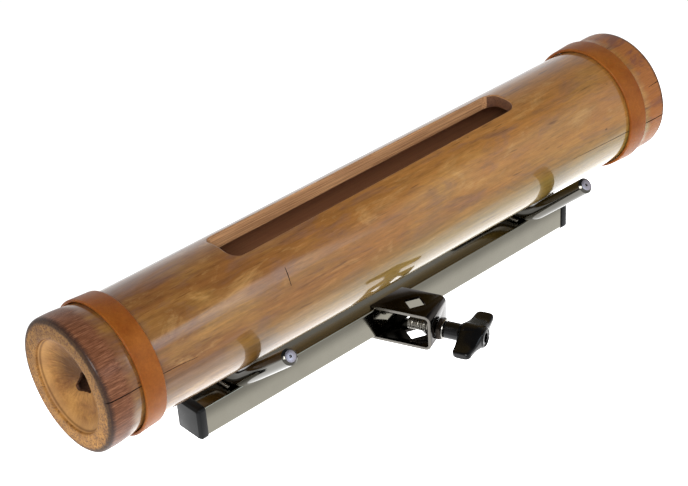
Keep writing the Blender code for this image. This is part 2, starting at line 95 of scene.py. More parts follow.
def shaft_radius(x):
    """Outer radius of the cane at a place along X, without its nodes."""
    return shaft_radius_left + (shaft_radius_right - shaft_radius_left) * (x - cane_left) / cane_length


def cane_radius(x):
    """Outer radius of the cane with the swelling of its two nodes."""
    radius = shaft_radius(x)
    for end, swell in ((cane_left, swell_left), (cane_right, swell_right)):
        share = min(max((node_reach - abs(x - end)) / (node_reach - node_crest), 0), 1)
        radius += swell * share * share * (3 - 2 * share)
    return radius


def bore_radius(x):
    """Radius of the hollow: the wall is thick at the nodes and thinner between them."""
    share = min(max((abs(x - cane_middle) - 0.36 * cane_length) / (0.1 * cane_length), 0), 1)
    thin_wall = thin_wall_left + (thin_wall_right - thin_wall_left) * (x - cane_left) / cane_length
    return shaft_radius(x) - thin_wall - (wall - thin_wall) * share * share * (3 - 2 * share)


def dent(x, angle):
    """How far the grown cane falls short of a perfect round: long flats and small hollows."""
    flats = noise.noise(Vector((x * 9, 1.3 * sin(angle), 1.3 * cos(angle))))
    hollows = noise.noise(Vector((x * 38 + 7, 5.2 * sin(angle), 5.2 * cos(angle))))
    chip = max(0, 1 - ((x - cane_left - 20.5 * MM) / (5 * MM)) ** 2 - ((angle - radians(57)) * 8.5) ** 2)
    return deepest_dent * min(max(0.42 + 0.6 * flats + 0.26 * hollows, 0) + 0.8 * chip, 1)


def on_cane(x, angle, lift=0.0):
    """A point over the cane's skin; the angle runs from the top towards the player."""
    reach = cane_radius(x) - dent(x, angle) + lift
    return Vector((x, cane_y - reach * sin(angle), cane_z + reach * cos(angle)))


def link(obj):
    """Put an object in the scene."""
    bpy.context.scene.collection.objects.link(obj)
    return obj


def solid_of(name, work):
    """An object from a bmesh, which is freed."""
    bmesh.ops.recalc_face_normals(work, faces=work.faces)
    mesh = bpy.data.meshes.new(name)
    work.to_mesh(mesh)
    work.free()
    return link(bpy.data.objects.new(name, mesh))


def settle(obj):
    """Apply an object's modifiers and its place to its mesh, and leave it at the origin."""
    graph = bpy.context.evaluated_depsgraph_get()
    graph.update()
    mesh = bpy.data.meshes.new_from_object(obj.evaluated_get(graph))
    mesh.transform(obj.matrix_world)
    name = obj.name
    bpy.data.objects.remove(obj, do_unlink=True)
    return link(bpy.data.objects.new(name, mesh))


def skinned(work, rings, closed):
    """Faces between rings of points; a ring of one point closes the end."""
    rings = [[work.verts.new(point) for point in ring] for ring in rings]
    for first, second in zip(rings, rings[1:] + (rings[:1] if closed else [])):
        count = max(len(first), len(second))
        for step in range(count):
            after = (step + 1) % count
            if len(first) == 1:
                work.faces.new((first[0], second[step], second[after]))
            elif len(second) == 1:
                work.faces.new((first[step], second[0], first[after]))
            else:
                work.faces.new((first[step], second[step], second[after], first[after]))
    return rings


def carve(obj, cutter, operation="DIFFERENCE"):
    """Cut or join one object with another, and delete the other."""
    step = obj.modifiers.new("carve", "BOOLEAN")
    step.object = cutter
    step.operation = operation
    step.solver = "EXACT"
    made = settle(obj)
    bpy.data.objects.remove(cutter, do_unlink=True)
    return made


def smooth(obj, angle):
    """Shade smooth except at edges sharper than an angle in degrees."""
    obj.data.shade_smooth()
    obj.data.set_sharp_from_angle(angle=radians(angle))


def arc(centre, radius, start, end, steps):
    """Points of an arc, angles in degrees."""
    turns = [radians(start + (end - start) * i / steps) for i in range(steps + 1)]
    return [(centre[0] + radius * cos(turn), centre[1] + radius * sin(turn)) for turn in turns]


def rounded(corners, radius, steps=6):
    """A closed outline through anticlockwise corners, each rounded by the same radius."""
    points = []
    for index, corner in enumerate(corners):
        corner = Vector(corner)
        before = (Vector(corners[index - 1]) - corner).normalized()
        after = (Vector(corners[(index + 1) % len(corners)]) - corner).normalized()
        half = before.angle(after) / 2
        centre = corner + (before + after).normalized() * (radius / sin(half))
        start = corner + before * (radius / tan(half)) - centre
        for step in range(steps + 1):
            points.append(centre + Matrix.Rotation((pi - 2 * half) * step / steps, 2) @ start)
    return points


def filled_in(outline, spacing):
    """The same closed outline with points no further apart than the spacing."""
    points = []
    for index, point in enumerate(outline):
        after = outline[(index + 1) % len(outline)]
        count = max(1, round((after - point).length / spacing))
        points += [point.lerp(after, step / count) for step in range(count)]
    return points


turns = [2 * pi * step / cane_steps for step in range(cane_steps)]


def cane_end_rings(end, side):
    """Rings of one end from the axis outwards: wrinkled node wall, step, sawn rim and round edge."""
    rim = shaft_radius(end) - wall
    dish = rim - dish_inset
    rings = [[(end - side * dish_depth, cane_y, cane_z)]]
    for ring in range(1, 25):
        share = ring / 24
        points = []
        for turn in turns:
            across, up = dish * share * sin(turn), dish * share * cos(turn)
            folds = noise.fractal(Vector((across * 90, up * 90, side * 3 + share * 2)), 0.9, 2.1, 4)
            ripple = noise.noise(Vector((share * 9, 3 * sin(turn), 3 * cos(turn))))
            sunk = (0.42 * MM * abs(folds) + 0.16 * MM * abs(ripple)) * min(1, 6 * (1 - share))
            depth = dish_step + (dish_depth - dish_step) * (1 - share ** 2) + sunk
            points.append((end - side * depth, cane_y - across, cane_z + up))
        rings.append(points)
    profile = [(rim - 0.1 * MM, rim_break + 0.35 * MM, 0), (rim + 0.25 * MM, 0.3 * rim_break, 0), (rim + rim_break, 0, 0)]
    profile += [(rim + rim_break + share * (wall - rim_break - rim_round), 0, share) for share in (0.3, 0.65)]
    profile += [(reach - rim_round, rim_round - along, 1) for reach, along in arc((0, 0), rim_round, 90, 0, 8)]
    outer = cane_radius(end)
    for reach, depth, share in profile:
        base = outer + reach if reach <= 0 else reach
        rings.append([(end - side * depth, cane_y - (base - share * dent(end, turn)) * sin(turn),
                       cane_z + (base - share * dent(end, turn)) * cos(turn)) for turn in turns])
    return rings


skin_rows = 180
work = bmesh.new()
skin = []
for row in range(1, skin_rows):
    x = cane_right - rim_round - (cane_length - 2 * rim_round) * row / skin_rows
    skin.append([on_cane(x, turn) for turn in turns])
skinned(work, cane_end_rings(cane_right, 1) + skin + cane_end_rings(cane_left, -1)[::-1], False)
cane = solid_of("cane", work)

bore_left = cane_left + dish_depth + node_wall
bore_right = cane_right - dish_depth - node_wall
thin_node_wall = 1.9 * MM
bore_rings = [[(cane_right - dish_depth - thin_node_wall, cane_y, cane_z)]]
for end, side, shares in ((cane_right, 1, range(1, 11)), (cane_left, -1, range(10, 0, -1))):
    if side < 0:
        for row in range(1, 24):
            x = bore_right + (bore_left - bore_right) * row / 24
            bore_rings.append([(x, cane_y - bore_radius(x) * sin(turn), cane_z + bore_radius(x) * cos(turn))
                               for turn in turns[::2]])
    for share in [step / 10 for step in shares]:
        front = dish_step + (dish_depth - dish_step) * (1 - share ** 2)
        blend = min(max((share - 0.6) / 0.4, 0), 1) ** 2
        x = end - side * (front + thin_node_wall + (dish_depth + node_wall - dish_step - thin_node_wall) * blend)
        reach = share * bore_radius(x)
        bore_rings.append([(x, cane_y - reach * sin(turn), cane_z + reach * cos(turn)) for turn in turns[::2]])
bore_rings.append([(cane_left + dish_depth + thin_node_wall, cane_y, cane_z)])
work = bmesh.new()
skinned(work, bore_rings, False)
hollow = solid_of("hollow", work)

slot_half = 114.0 * MM
slot_middle = cane_middle - 2.0 * MM
slot_half_left = 14.3 * MM
slot_half_right = 12.2 * MM
slot_corner = 7.5 * MM
slot_break = 0.55 * MM
slot_outline = rounded([(slot_middle - slot_half, -slot_half_left), (slot_middle + slot_half, -slot_half_right),
                        (slot_middle + slot_half, slot_half_right), (slot_middle - slot_half, slot_half_left)],
                       slot_corner, 10)
slot_outline = filled_in(slot_outline, 3 * MM)
slot_rings = [[(slot_middle, cane_y, cane_z)], [(p.x, cane_y + p.y, cane_z) for p in slot_outline]]
for grown, sunk in [(0.0, 1.0)] + [(1 - cos(radians(a)), 1 - sin(radians(a))) for a in (30, 60, 90)] + [(1.0, -18.0)]:
    ring = []
    for index, point in enumerate(slot_outline):
        ahead = slot_outline[(index + 1) % len(slot_outline)] - slot_outline[index - 1]
        outward = Vector((ahead.y, -ahead.x)).normalized()
        waver = 0.16 * MM * noise.noise(Vector((point.x * 140, point.y * 140, 3)))
        place = point + outward * (slot_break * grown - 0.1 * MM + waver)
        skin_z = on_cane(place.x, asin(max(-1, min(1, -place.y / cane_radius(place.x))))).z
        ring.append((place.x, cane_y + place.y, skin_z - slot_break * sunk))
    slot_rings.append(ring)
slot_rings.append([(slot_middle, cane_y, cane_high.z + 12 * MM)])
work = bmesh.new()
skinned(work, slot_rings, False)
hollow = carve(hollow, solid_of("slot", work), "UNION")

hole_left = [(-8.0, -7.0), (10.0, -12.0), (1.0, 5.5)]
hole_right = [(-9.0, 1.0), (3.0, -8.5), (6.5, 7.0)]
for corners, start, end in ((hole_left, cane_left + 2 * MM, bore_left + 3 * MM),
                            (hole_right, bore_right - 3 * MM, cane_right - 2 * MM)):
    outline = filled_in(rounded([(y * MM, z * MM) for y, z in corners], 2.2 * MM), 0.9 * MM)
    rings = [[(start, cane_y + outline[0].x, cane_z + outline[0].y)]]
    rings = []
    for layer in range(9):
        x = start + (end - start) * layer / 8
        ragged = []
        for point in outline:
            torn = noise.noise(Vector((point.x * 420, point.y * 420, x * 260)))
            middle = Vector((sum(p.x for p in outline), sum(p.y for p in outline))) / len(outline)
            place = point + (middle - point).normalized() * (0.45 * MM + 0.6 * MM * torn)
            ragged.append((x, cane_y + place.x, cane_z + place.y))
        rings.append(ragged)
    rings = [[tuple(Vector((start, cane_y + middle.x, cane_z + middle.y)))]] + rings
    rings.append([(end, cane_y + middle.x, cane_z + middle.y)])
    work = bmesh.new()
    skinned(work, rings, False)
    hollow = carve(hollow, solid_of("hole", work), "UNION")

# Drying cracks that run in from the sawn ends, and one scratch: x from the middle of the bar and angle
# from the top at each place, with the width there.
cracks = [
    [(-232, 77.0, 0.75), (-214, 78.2, 0.62), (-199, 79.1, 0.5), (-185, 79.5, 0.42), (-170, 81.0, 0.25)],
    [(219, 60.8, 0.55), (212, 61.6, 0.45), (204, 62.2, 0.2)],
    [(219, 94.6, 0.8), (207, 94.9, 0.7), (190, 95.0, 0.6), (160, 93.6, 0.4), (128, 91.4, 0.2)],
    [(-99.3, 50.0, 0.45), (-99.8, 57.0, 0.5), (-100.4, 65.0, 0.35)],
]
work = bmesh.new()
for places in cracks:
    spots = [on_cane(x * MM, radians(angle)) for x, angle, width in places]
    rings = []
    for index, (x, angle, width) in enumerate(places):
        ahead = (spots[min(index + 1, len(spots) - 1)] - spots[max(index - 1, 0)]).normalized()
        up = Vector((0, -sin(radians(angle)), cos(radians(angle))))
        aside = ahead.cross(up) * (width * MM / 2)
        deep = (1.1 if abs(x) < 110 else 3.2 if width > 0.4 else 1.6) * MM
        top = spots[index] + up * (0.8 * MM)
        rings.append([spots[index] - up * deep, top - aside * (1 + 0.8 * MM / deep), top + aside * (1 + 0.8 * MM / deep)])
    first, last = spots[0] - (spots[1] - spots[0]).normalized() * MM, spots[-1] + (spots[-1] - spots[-2]).normalized() * MM
    skinned(work, [[first]] + rings + [[last]], False)
flaws = solid_of("flaws", work)
work = bmesh.new()
work.from_mesh(hollow.data)
work.from_mesh(flaws.data)
bpy.data.objects.remove(hollow, do_unlink=True)
bpy.data.objects.remove(flaws, do_unlink=True)
cane = carve(cane, solid_of("cutter", work))
smooth(cane, 32)


def colour(code):
    """A hex sRGB colour as a linear colour with alpha."""
    parts = [int(code[i:i + 2], 16) / 255 for i in (0, 2, 4)]
    return [p / 12.92 if p <= 0.04045 else ((p + 0.055) / 1.055) ** 2.4 for p in parts] + [1.0]


def add(tree, kind, settings=None, inputs=None):
    """Add a node: settings are its properties; an input takes a value, a socket, or a node's first output."""
    made = tree.nodes.new(kind)
    for name, value in (settings or {}).items():
        setattr(made, name, value)
    for name, value in (inputs or {}).items():
        port = made.inputs[name] if isinstance(name, int) else [p for p in made.inputs if p.enabled and p.name == name][0]
        if isinstance(value, bpy.types.Node):
            value = [p for p in value.outputs if p.enabled][0]
        if isinstance(value, bpy.types.NodeSocket):
            tree.links.new(value, port)
        else:
            port.default_value = value
    return made


def new_finish(name):
    """An empty node material and its tree."""
    made = bpy.data.materials.new(name)
    made.use_nodes = True
    made.node_tree.nodes.clear()
    return made, made.node_tree


def grain(tree, place, scale, detail=4.0, roughness=0.6, distortion=0.0):
    """Noise with its own number of cells per metre along each axis; its values lie about 0.3 to 0.7."""
    stretched = add(tree, "ShaderNodeVectorMath", {"operation": "MULTIPLY"}, {0: place, 1: scale})
    return add(tree, "ShaderNodeTexNoise", None, {"Vector": stretched, "Scale": 1.0, "Detail": detail,
                                                  "Roughness": roughness, "Distortion": distortion})


def span(tree, value, low, high, to_low=0.0, to_high=1.0):
    """A value mapped from one range to another and held at its ends."""
    return add(tree, "ShaderNodeMapRange", None, {"Value": value, "From Min": low, "From Max": high,
                                                  "To Min": to_low, "To Max": to_high})


def times(tree, first, second):
    """Two values multiplied."""
    return add(tree, "ShaderNodeMath", {"operation": "MULTIPLY"}, {0: first, 1: second})


def times_plus(tree, first, second, third):
    """Two values multiplied and a third added."""
    return add(tree, "ShaderNodeMath", {"operation": "MULTIPLY_ADD"}, {0: first, 1: second, 2: third})


def blend(tree, factor, first, second):
    """A mix of two colours; a colour may be a hex code."""
    pair = [colour(code) if isinstance(code, str) else code for code in (first, second)]
    return add(tree, "ShaderNodeMix", {"data_type": "RGBA"}, {"Factor": factor, "A": pair[0], "B": pair[1]})


def ramp(tree, value, stops):
    """A colour ramp through (position, hex code) stops."""
    made = add(tree, "ShaderNodeValToRGB", None, {"Fac": value})
    for position, code in stops[1:-1]:
        made.color_ramp.elements.new(position).color = colour(code)
    made.color_ramp.elements[0].position, made.color_ramp.elements[-1].position = stops[0][0], stops[-1][0]
    made.color_ramp.elements[0].color, made.color_ramp.elements[-1].color = colour(stops[0][1]), colour(stops[-1][1])
    return made


def lit_by(tree, tint, light):
    """A colour made lighter or darker by a value round 1."""
    return add(tree, "ShaderNodeVectorMath", {"operation": "SCALE"}, {0: tint, "Scale": light})


def finished(made, tree, settings):
    """The material with its Principled shader and output."""
    shader = add(tree, "ShaderNodeBsdfPrincipled", None, settings)
    add(tree, "ShaderNodeOutputMaterial", None, {"Surface": shader})
    return made


def cane_place(tree):
    """Object coordinates measured from the middle of the cane, and the same without their X."""
    spot = add(tree, "ShaderNodeTexCoord")
    place = add(tree, "ShaderNodeMapping", None, {"Vector": spot.outputs["Object"],
                                                  "Location": (-cane_middle, -cane_y, -cane_z)})
    return place, add(tree, "ShaderNodeVectorMath", {"operation": "MULTIPLY"}, {0: place, 1: (0, 1, 1)})


def lacquered_rind():
    """Bamboo rind under thick gloss lacquer: honey-brown with lengthwise fibres, smoky stretches and
    dark dashes; at the nodes the rind is sanded off and reddish brown fibres show; the rims are scorched."""
    made, tree = new_finish("lacquered_bamboo_rind")
    place, flat = cane_place(tree)
    part = add(tree, "ShaderNodeSeparateXYZ", None, {"Vector": place})
    # Clouds are 90 mm by 25 mm, marks 45 by 14, streaks 80 by 4, patches 13 by 3, fibres 22 by 1.5.
    cloud = grain(tree, place, (11, 42, 42), 4.0, 0.6, 0.4)
    marks = grain(tree, place, (22, 70, 70), 7.0, 0.68, 0.7)
    streak = grain(tree, place, (12, 230, 230), 5.0, 0.65, 0.2)
    patch = grain(tree, place, (75, 300, 300), 5.0, 0.7, 0.4)
    fibre = grain(tree, place, (45, 660, 660), 4.0, 0.85)
    honey = blend(tree, span(tree, part.outputs["X"], -0.17, 0.04), "704722", "93632e")
    gold = blend(tree, span(tree, cloud, 0.48, 0.68, 0.0, 0.6), honey, "a0783c")
    smoky = blend(tree, span(tree, marks, 0.5, 0.66, 0.0, 0.55), gold, "684c42")
    paled = blend(tree, span(tree, marks, 0.44, 0.3, 0.0, 0.6), smoky, "ae8752")
    # The lower side is tinted olive-yellow, most on the right, so that the floor's reflection there reads cream: a
    # painted reflection tint, not a colour of the rind.
    low = span(tree, part.outputs["Z"], 9 * MM, -7 * MM, 0.0, 0.68)
    underside_painted_glow = blend(tree, times(tree, low, span(tree, part.outputs["X"], -0.15, 0.0, 0.25, 1.0)), paled, "74672f")
    light = times(tree, span(tree, streak, 0.3, 0.7, 0.88, 1.10), span(tree, patch, 0.3, 0.7, 0.90, 1.09))
    lined = lit_by(tree, underside_painted_glow, times(tree, light, span(tree, fibre, 0.3, 0.7, 0.72, 1.22)))
    dash = grain(tree, place, (42, 430, 430), 2.0, 0.5)
    dashed = blend(tree, span(tree, dash, 0.66, 0.75, 0.0, 0.6), lined, "4a2c16")
    fleck_place = add(tree, "ShaderNodeVectorMath", {"operation": "MULTIPLY"}, {0: place, 1: (60, 130, 130)})
    fleck = add(tree, "ShaderNodeTexVoronoi", None, {"Vector": fleck_place, "Scale": 1.0})
    few = add(tree, "ShaderNodeSeparateColor", None, {"Color": fleck.outputs["Color"]})
    flecks = times(tree, span(tree, fleck.outputs["Distance"], 0.04, 0.09, 1.0, 0.0),
                   span(tree, few.outputs["Red"], 0.7, 0.95, 0.0, 0.8))
    flecked = blend(tree, flecks, dashed, "3c2110")

    off = add(tree, "ShaderNodeMath", {"operation": "ABSOLUTE"}, {0: part.outputs["X"]})
    from_rim = add(tree, "ShaderNodeMath", {"operation": "SUBTRACT"}, {0: cane_length / 2, 1: off})
    waver = times_plus(tree, marks, 9 * MM, times_plus(tree, fibre, 9 * MM, from_rim))
    sanded = span(tree, waver, 22.5 * MM, 27.5 * MM, 1.0, 0.0)
    hair = grain(tree, place, (75, 1400, 1400), 3.0, 0.8)
    fibres = ramp(tree, hair, ((0.34, "54331f"), (0.52, "6a422d"), (0.68, "855a40")))
    on_right = span(tree, part.outputs["X"], -0.1, 0.1)
    tawny = blend(tree, times(tree, on_right, 0.75), fibres, "9a6030")
    smeared = blend(tree, times(tree, on_right, span(tree, marks, 0.5, 0.6, 0.0, 0.6)), tawny, "5a3b3a")
    node_wood = lit_by(tree, smeared, span(tree, hair, 0.3, 0.7, 0.92, 1.08))
    sanded_rind = blend(tree, sanded, flecked, node_wood)
    scorch = span(tree, times_plus(tree, hair, 2.4 * MM, from_rim), 2.8 * MM, 5.2 * MM, 0.88, 0.0)
    scorched = blend(tree, scorch, sanded_rind, "2e221d")
    grain_bump = add(tree, "ShaderNodeBump", None, {
        "Height": times(tree, hair, times_plus(tree, sanded, 0.8, 0.2)), "Strength": 0.5, "Distance": 0.25 * MM})
    # The lacquer flows out almost level over the grain; only a slow waviness of 20 mm is left in it.
    level = grain(tree, place, (35, 90, 90), 1.0)
    coat_height = times_plus(tree, times(tree, sanded, hair), 0.35, times_plus(tree, streak, 0.08, level))
    coat_bump = add(tree, "ShaderNodeBump", None, {"Height": coat_height, "Strength": 0.35, "Distance": 0.2 * MM})
    worn = add(tree, "ShaderNodeMath", {"operation": "MAXIMUM"}, {0: sanded, 1: scorch})
    return finished(made, tree, {
        "Base Color": scorched, "Roughness": span(tree, fibre, 0.0, 1.0, 0.34, 0.5), "Specular IOR Level": 0.05,
        "Normal": grain_bump, "Coat Weight": span(tree, worn, 0.0, 1.0, 1.0, 0.18), "Coat Roughness": 0.06, "Coat IOR": 1.44,
        "Coat Normal": coat_bump})


def sawn_end_grain():
    """Cane sawn across: ochre pith full of the dark dots of its fibre bundles, closer and darker
    outwards, and scorched along the outer edge. The dots are drawn 1.3 mm apart so that they show."""
    made, tree = new_finish("sawn_bamboo_end_grain")
    place, flat = cane_place(tree)
    part = add(tree, "ShaderNodeSeparateXYZ", None, {"Vector": place})
    reach = add(tree, "ShaderNodeVectorMath", {"operation": "LENGTH"}, {0: flat})
    outer = span(tree, part.outputs["X"], -cane_length / 2, cane_length / 2, cane_radius(cane_left), cane_radius(cane_right))
    from_skin = add(tree, "ShaderNodeMath", {"operation": "SUBTRACT"}, {0: outer, 1: reach.outputs["Value"]})
    bundle = add(tree, "ShaderNodeTexVoronoi", None, {"Vector": flat, "Scale": 760.0})
    blotch = grain(tree, flat, (0, 130, 130), 5.0, 0.7)
    speckle = grain(tree, flat, (0, 800, 800), 3.0, 0.7)
    near = span(tree, from_skin, 2 * MM, 10 * MM, 0.58, 0.42)
    dot_edge = add(tree, "ShaderNodeMath", {"operation": "SUBTRACT"}, {0: near, 1: 0.2})
    pith = ramp(tree, blotch, ((0.32, "7b5222"), (0.68, "b07f40")))
    # The sawn end is darker towards the top.
    darker_to_top = span(tree, part.outputs["Z"], -22 * MM, 26 * MM, 1.05, 0.62)
    grainy = lit_by(tree, pith, times(tree, darker_to_top, span(tree, speckle, 0.3, 0.7, 0.65, 1.25)))
    dotted = blend(tree, span(tree, bundle.outputs["Distance"], dot_edge, near, 0.8, 0.0), grainy, "4a2a12")
    ragged = times_plus(tree, blotch, -2.6 * MM, from_skin)
    scorched = blend(tree, span(tree, ragged, 0.8 * MM, 2.6 * MM, 0.85, 0.0), dotted, "2e221d")
    # The inner chamfer of the rim is painted darker brown: painted shade.
    inner_chamfer_painted_shade = blend(tree, span(tree, from_skin, 10.6 * MM, 11.6 * MM, 0.0, 0.3), scorched, "6b4120")
    bump = add(tree, "ShaderNodeBump", None, {"Height": bundle.outputs["Distance"], "Strength": 0.35,
                                              "Distance": 0.25 * MM})
    return finished(made, tree, {"Base Color": inner_chamfer_painted_shade, "Roughness": span(tree, blotch, 0.0, 1.0, 0.45, 0.7),
                                 "Normal": bump, "Specular IOR Level": 0.15})


def papery_node_wall():
    """The wall inside a bamboo node: pale, papery and wrinkled towards its middle, with a brown smudge."""
    made, tree = new_finish("papery_bamboo_node_wall")
    place, flat = cane_place(tree)
    reach = add(tree, "ShaderNodeVectorMath", {"operation": "LENGTH"}, {0: flat}).outputs["Value"]
    way = add(tree, "ShaderNodeVectorMath", {"operation": "NORMALIZE"}, {0: flat})
    cloud = grain(tree, flat, (0, 75, 75), 6.0, 0.62, 0.4)
    speckle = grain(tree, flat, (0, 700, 700), 3.0, 0.7)
    outward = add(tree, "ShaderNodeCombineXYZ", None, {"X": times(tree, reach, 70.0)})
    fan = add(tree, "ShaderNodeVectorMath", {"operation": "MULTIPLY_ADD"}, {0: way, 1: (0, 9, 9), 2: outward})
    crease = grain(tree, fan, (1, 1, 1), 5.0, 0.68, 0.9)
    paper = ramp(tree, cloud, ((0.34, "744c29"), (0.62, "a0743f")))
    from_stain = add(tree, "ShaderNodeVectorMath", {"operation": "DISTANCE"}, {0: flat, 1: (0, 8 * MM, 4 * MM)})
    wrinkled = span(tree, from_stain.outputs["Value"], 8 * MM, 24 * MM, 1.0, 0.3)
    # The wrinkles are painted darker in their hollows and lighter on their ridges, from the same noise as their bump:
    # painted shade and light. The fine speckle is the wall's own.
    lined = lit_by(tree, paper, times(tree, times_plus(tree, wrinkled, span(tree, crease, 0.3, 0.7, -0.22, 0.14), 1.0),
                                      span(tree, speckle, 0.3, 0.7, 0.82, 1.14)))
    smudge = span(tree, times_plus(tree, crease, 16 * MM, from_stain.outputs["Value"]), 13 * MM, 26 * MM, 0.9, 0.0)
    stained = blend(tree, smudge, lined, "46290f")
    foot = shaft_radius_left - wall - dish_inset
    pale = blend(tree, span(tree, reach, foot - 5 * MM, foot - 1.5 * MM, 0.0, 0.35), stained, "b98f5c")
    # A thin dark line round the foot of the step at the dish's edge is painted shade in that corner.
    line = times(tree, span(tree, reach, foot - 0.7 * MM, foot, 0.0, 0.6),
                 span(tree, reach, foot + 0.1 * MM, foot + 0.35 * MM, 1.0, 0.0))
    foot_painted_shade = blend(tree, line, pale, "4e2d14")
    bump = add(tree, "ShaderNodeBump", None, {"Height": crease, "Strength": 0.45, "Distance": 0.4 * MM})
    return finished(made, tree, {"Base Color": foot_painted_shade, "Roughness": span(tree, cloud, 0.0, 1.0, 0.4, 0.65),
                                 "Normal": bump, "Specular IOR Level": 0.12})


def bare_cane(name, dark, light, scale, low_light=1.0):
    """Cane wall cut or broken open: dull brown with the fibres lengthwise; scale is in cells per metre.
    The lower wall can be painted lighter or darker than the upper by low_light: painted light and shade."""
    made, tree = new_finish(name)
    place, flat = cane_place(tree)
    part = add(tree, "ShaderNodeSeparateXYZ", None, {"Vector": place})
    fibre = grain(tree, place, scale, 5.0, 0.65)
    tint = ramp(tree, fibre, ((0.32, dark), (0.66, light)))
    shade = span(tree, part.outputs["Z"], 28 * MM, -16 * MM, 1.0, low_light)
    bump = add(tree, "ShaderNodeBump", None, {"Height": fibre, "Strength": 0.5, "Distance": 0.3 * MM})
    return finished(made, tree, {"Base Color": lit_by(tree, tint, shade),
                                 "Roughness": span(tree, fibre, 0.0, 1.0, 0.45, 0.7), "Normal": bump})


cane.data.materials.clear()
for finish in (lacquered_rind(), sawn_end_grain(), papery_node_wall(),
               # The bore's lower wall is painted darker, down to 0.22 of the upper: painted shade.
               bare_cane("bare_bore", "b5744e", "cb8c61", (14, 700, 700), 0.22),
               bare_cane("chiselled_slot_wall", "784d30", "cf9d6e", (9, 2000, 2000)),
               # The slot's end walls are painted darker than its side walls: painted shade.
               bare_cane("slot_end_wall_painted_shade", "43281a", "70492f", (700, 700, 700)),
               # The torn walls of the node holes are painted near black over the brown of broken fibre: painted shade
               # inside the holes.
               bare_cane("node_hole_wall_painted_shade", "1f1007", "5c3820", (500, 300, 300)),
               bare_cane("crack_in_the_rind", "1c0f08", "3a2011", (30, 900, 900))):
    cane.data.materials.append(finish)
rind, end_grain, node_face, bore_face, slot_face, slot_end_shade_face, node_hole_shade_face, crack_face = range(8)
for face in cane.data.polygons:
    x, y, z = face.center
    reach = sqrt((y - cane_y) ** 2 + (z - cane_z) ** 2)
    outer = cane_radius(x)
    outward = (face.normal.y * (y - cane_y) + face.normal.z * (z - cane_z)) / max(reach, 1e-6)
    from_end = min(x - cane_left, cane_right - x)
    bore = shaft_radius(x) - wall if from_end < 25 * MM else bore_radius(x)
    if outward > 0.6 and reach > outer - 1.1 * MM:
        face.material_index = rind
    elif from_end < rim_round and reach > bore + 0.05 * MM and abs(face.normal.x) > 0.3:
        face.material_index = end_grain
    elif reach < bore + 0.05 * MM and from_end < dish_depth + MM and abs(face.normal.x) > 0.35 or (
            from_end < dish_step + 0.3 * MM and reach < bore + 0.1 * MM):
        face.material_index = node_face
    elif from_end < dish_depth + node_wall + 0.4 * MM and reach < 18 * MM:
        # Walls of the holes through the node walls take the near-black painted shade.
        face.material_index = node_hole_shade_face
    elif reach > bore + 0.3 * MM and abs(y - cane_y) < slot_half_left + MM and z > cane_z and abs(x - slot_middle) < slot_half + MM:
        # The slot's end walls take the darker painted shade.
        face.material_index = slot_end_shade_face if abs(face.normal.x) > 0.55 and reach < outer - 1.5 * MM else slot_face
    elif reach > outer - 4 * MM:
        face.material_index = crack_face
    else:
        face.material_index = bore_face
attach(cane, "cane")
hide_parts("bamboo_tube")


# Rubber bands
# Two flat rings cut from amber gum-rubber tube and stretched round the cane beside its nodes.
# The cut edges wander a little and the skin is satin, with light showing through the thin edges.

band_width = 14.1 * MM
band_thickness = 1.9 * MM
band_edge = 0.75 * MM
band_waver = 0.22 * MM


def new_plan(name, sizes):
    """A geometry node tree with a geometry input and output and named inputs for its sizes."""
    tree = bpy.data.node_groups.new(name, "GeometryNodeTree")
    tree.interface.new_socket("Geometry", in_out="INPUT", socket_type="NodeSocketGeometry")
    for label, kind in sizes:
        tree.interface.new_socket(label, in_out="INPUT", socket_type="NodeSocket" + kind)
    tree.interface.new_socket("Geometry", in_out="OUTPUT", socket_type="NodeSocketGeometry")
    return tree, add(tree, "NodeGroupInput").outputs


def made_to_plan(name, tree, values, start=None):
    """The plain mesh that a geometry node tree makes with these values."""
    obj = link(bpy.data.objects.new(name, start or bpy.data.meshes.new(name)))
    step = obj.modifiers.new("plan", "NODES")
    step.node_group = tree
    for item in tree.interface.items_tree:
        if item.item_type == "SOCKET" and item.in_out == "INPUT" and item.name in values:
            step[item.identifier] = values[item.name]
    return settle(obj)


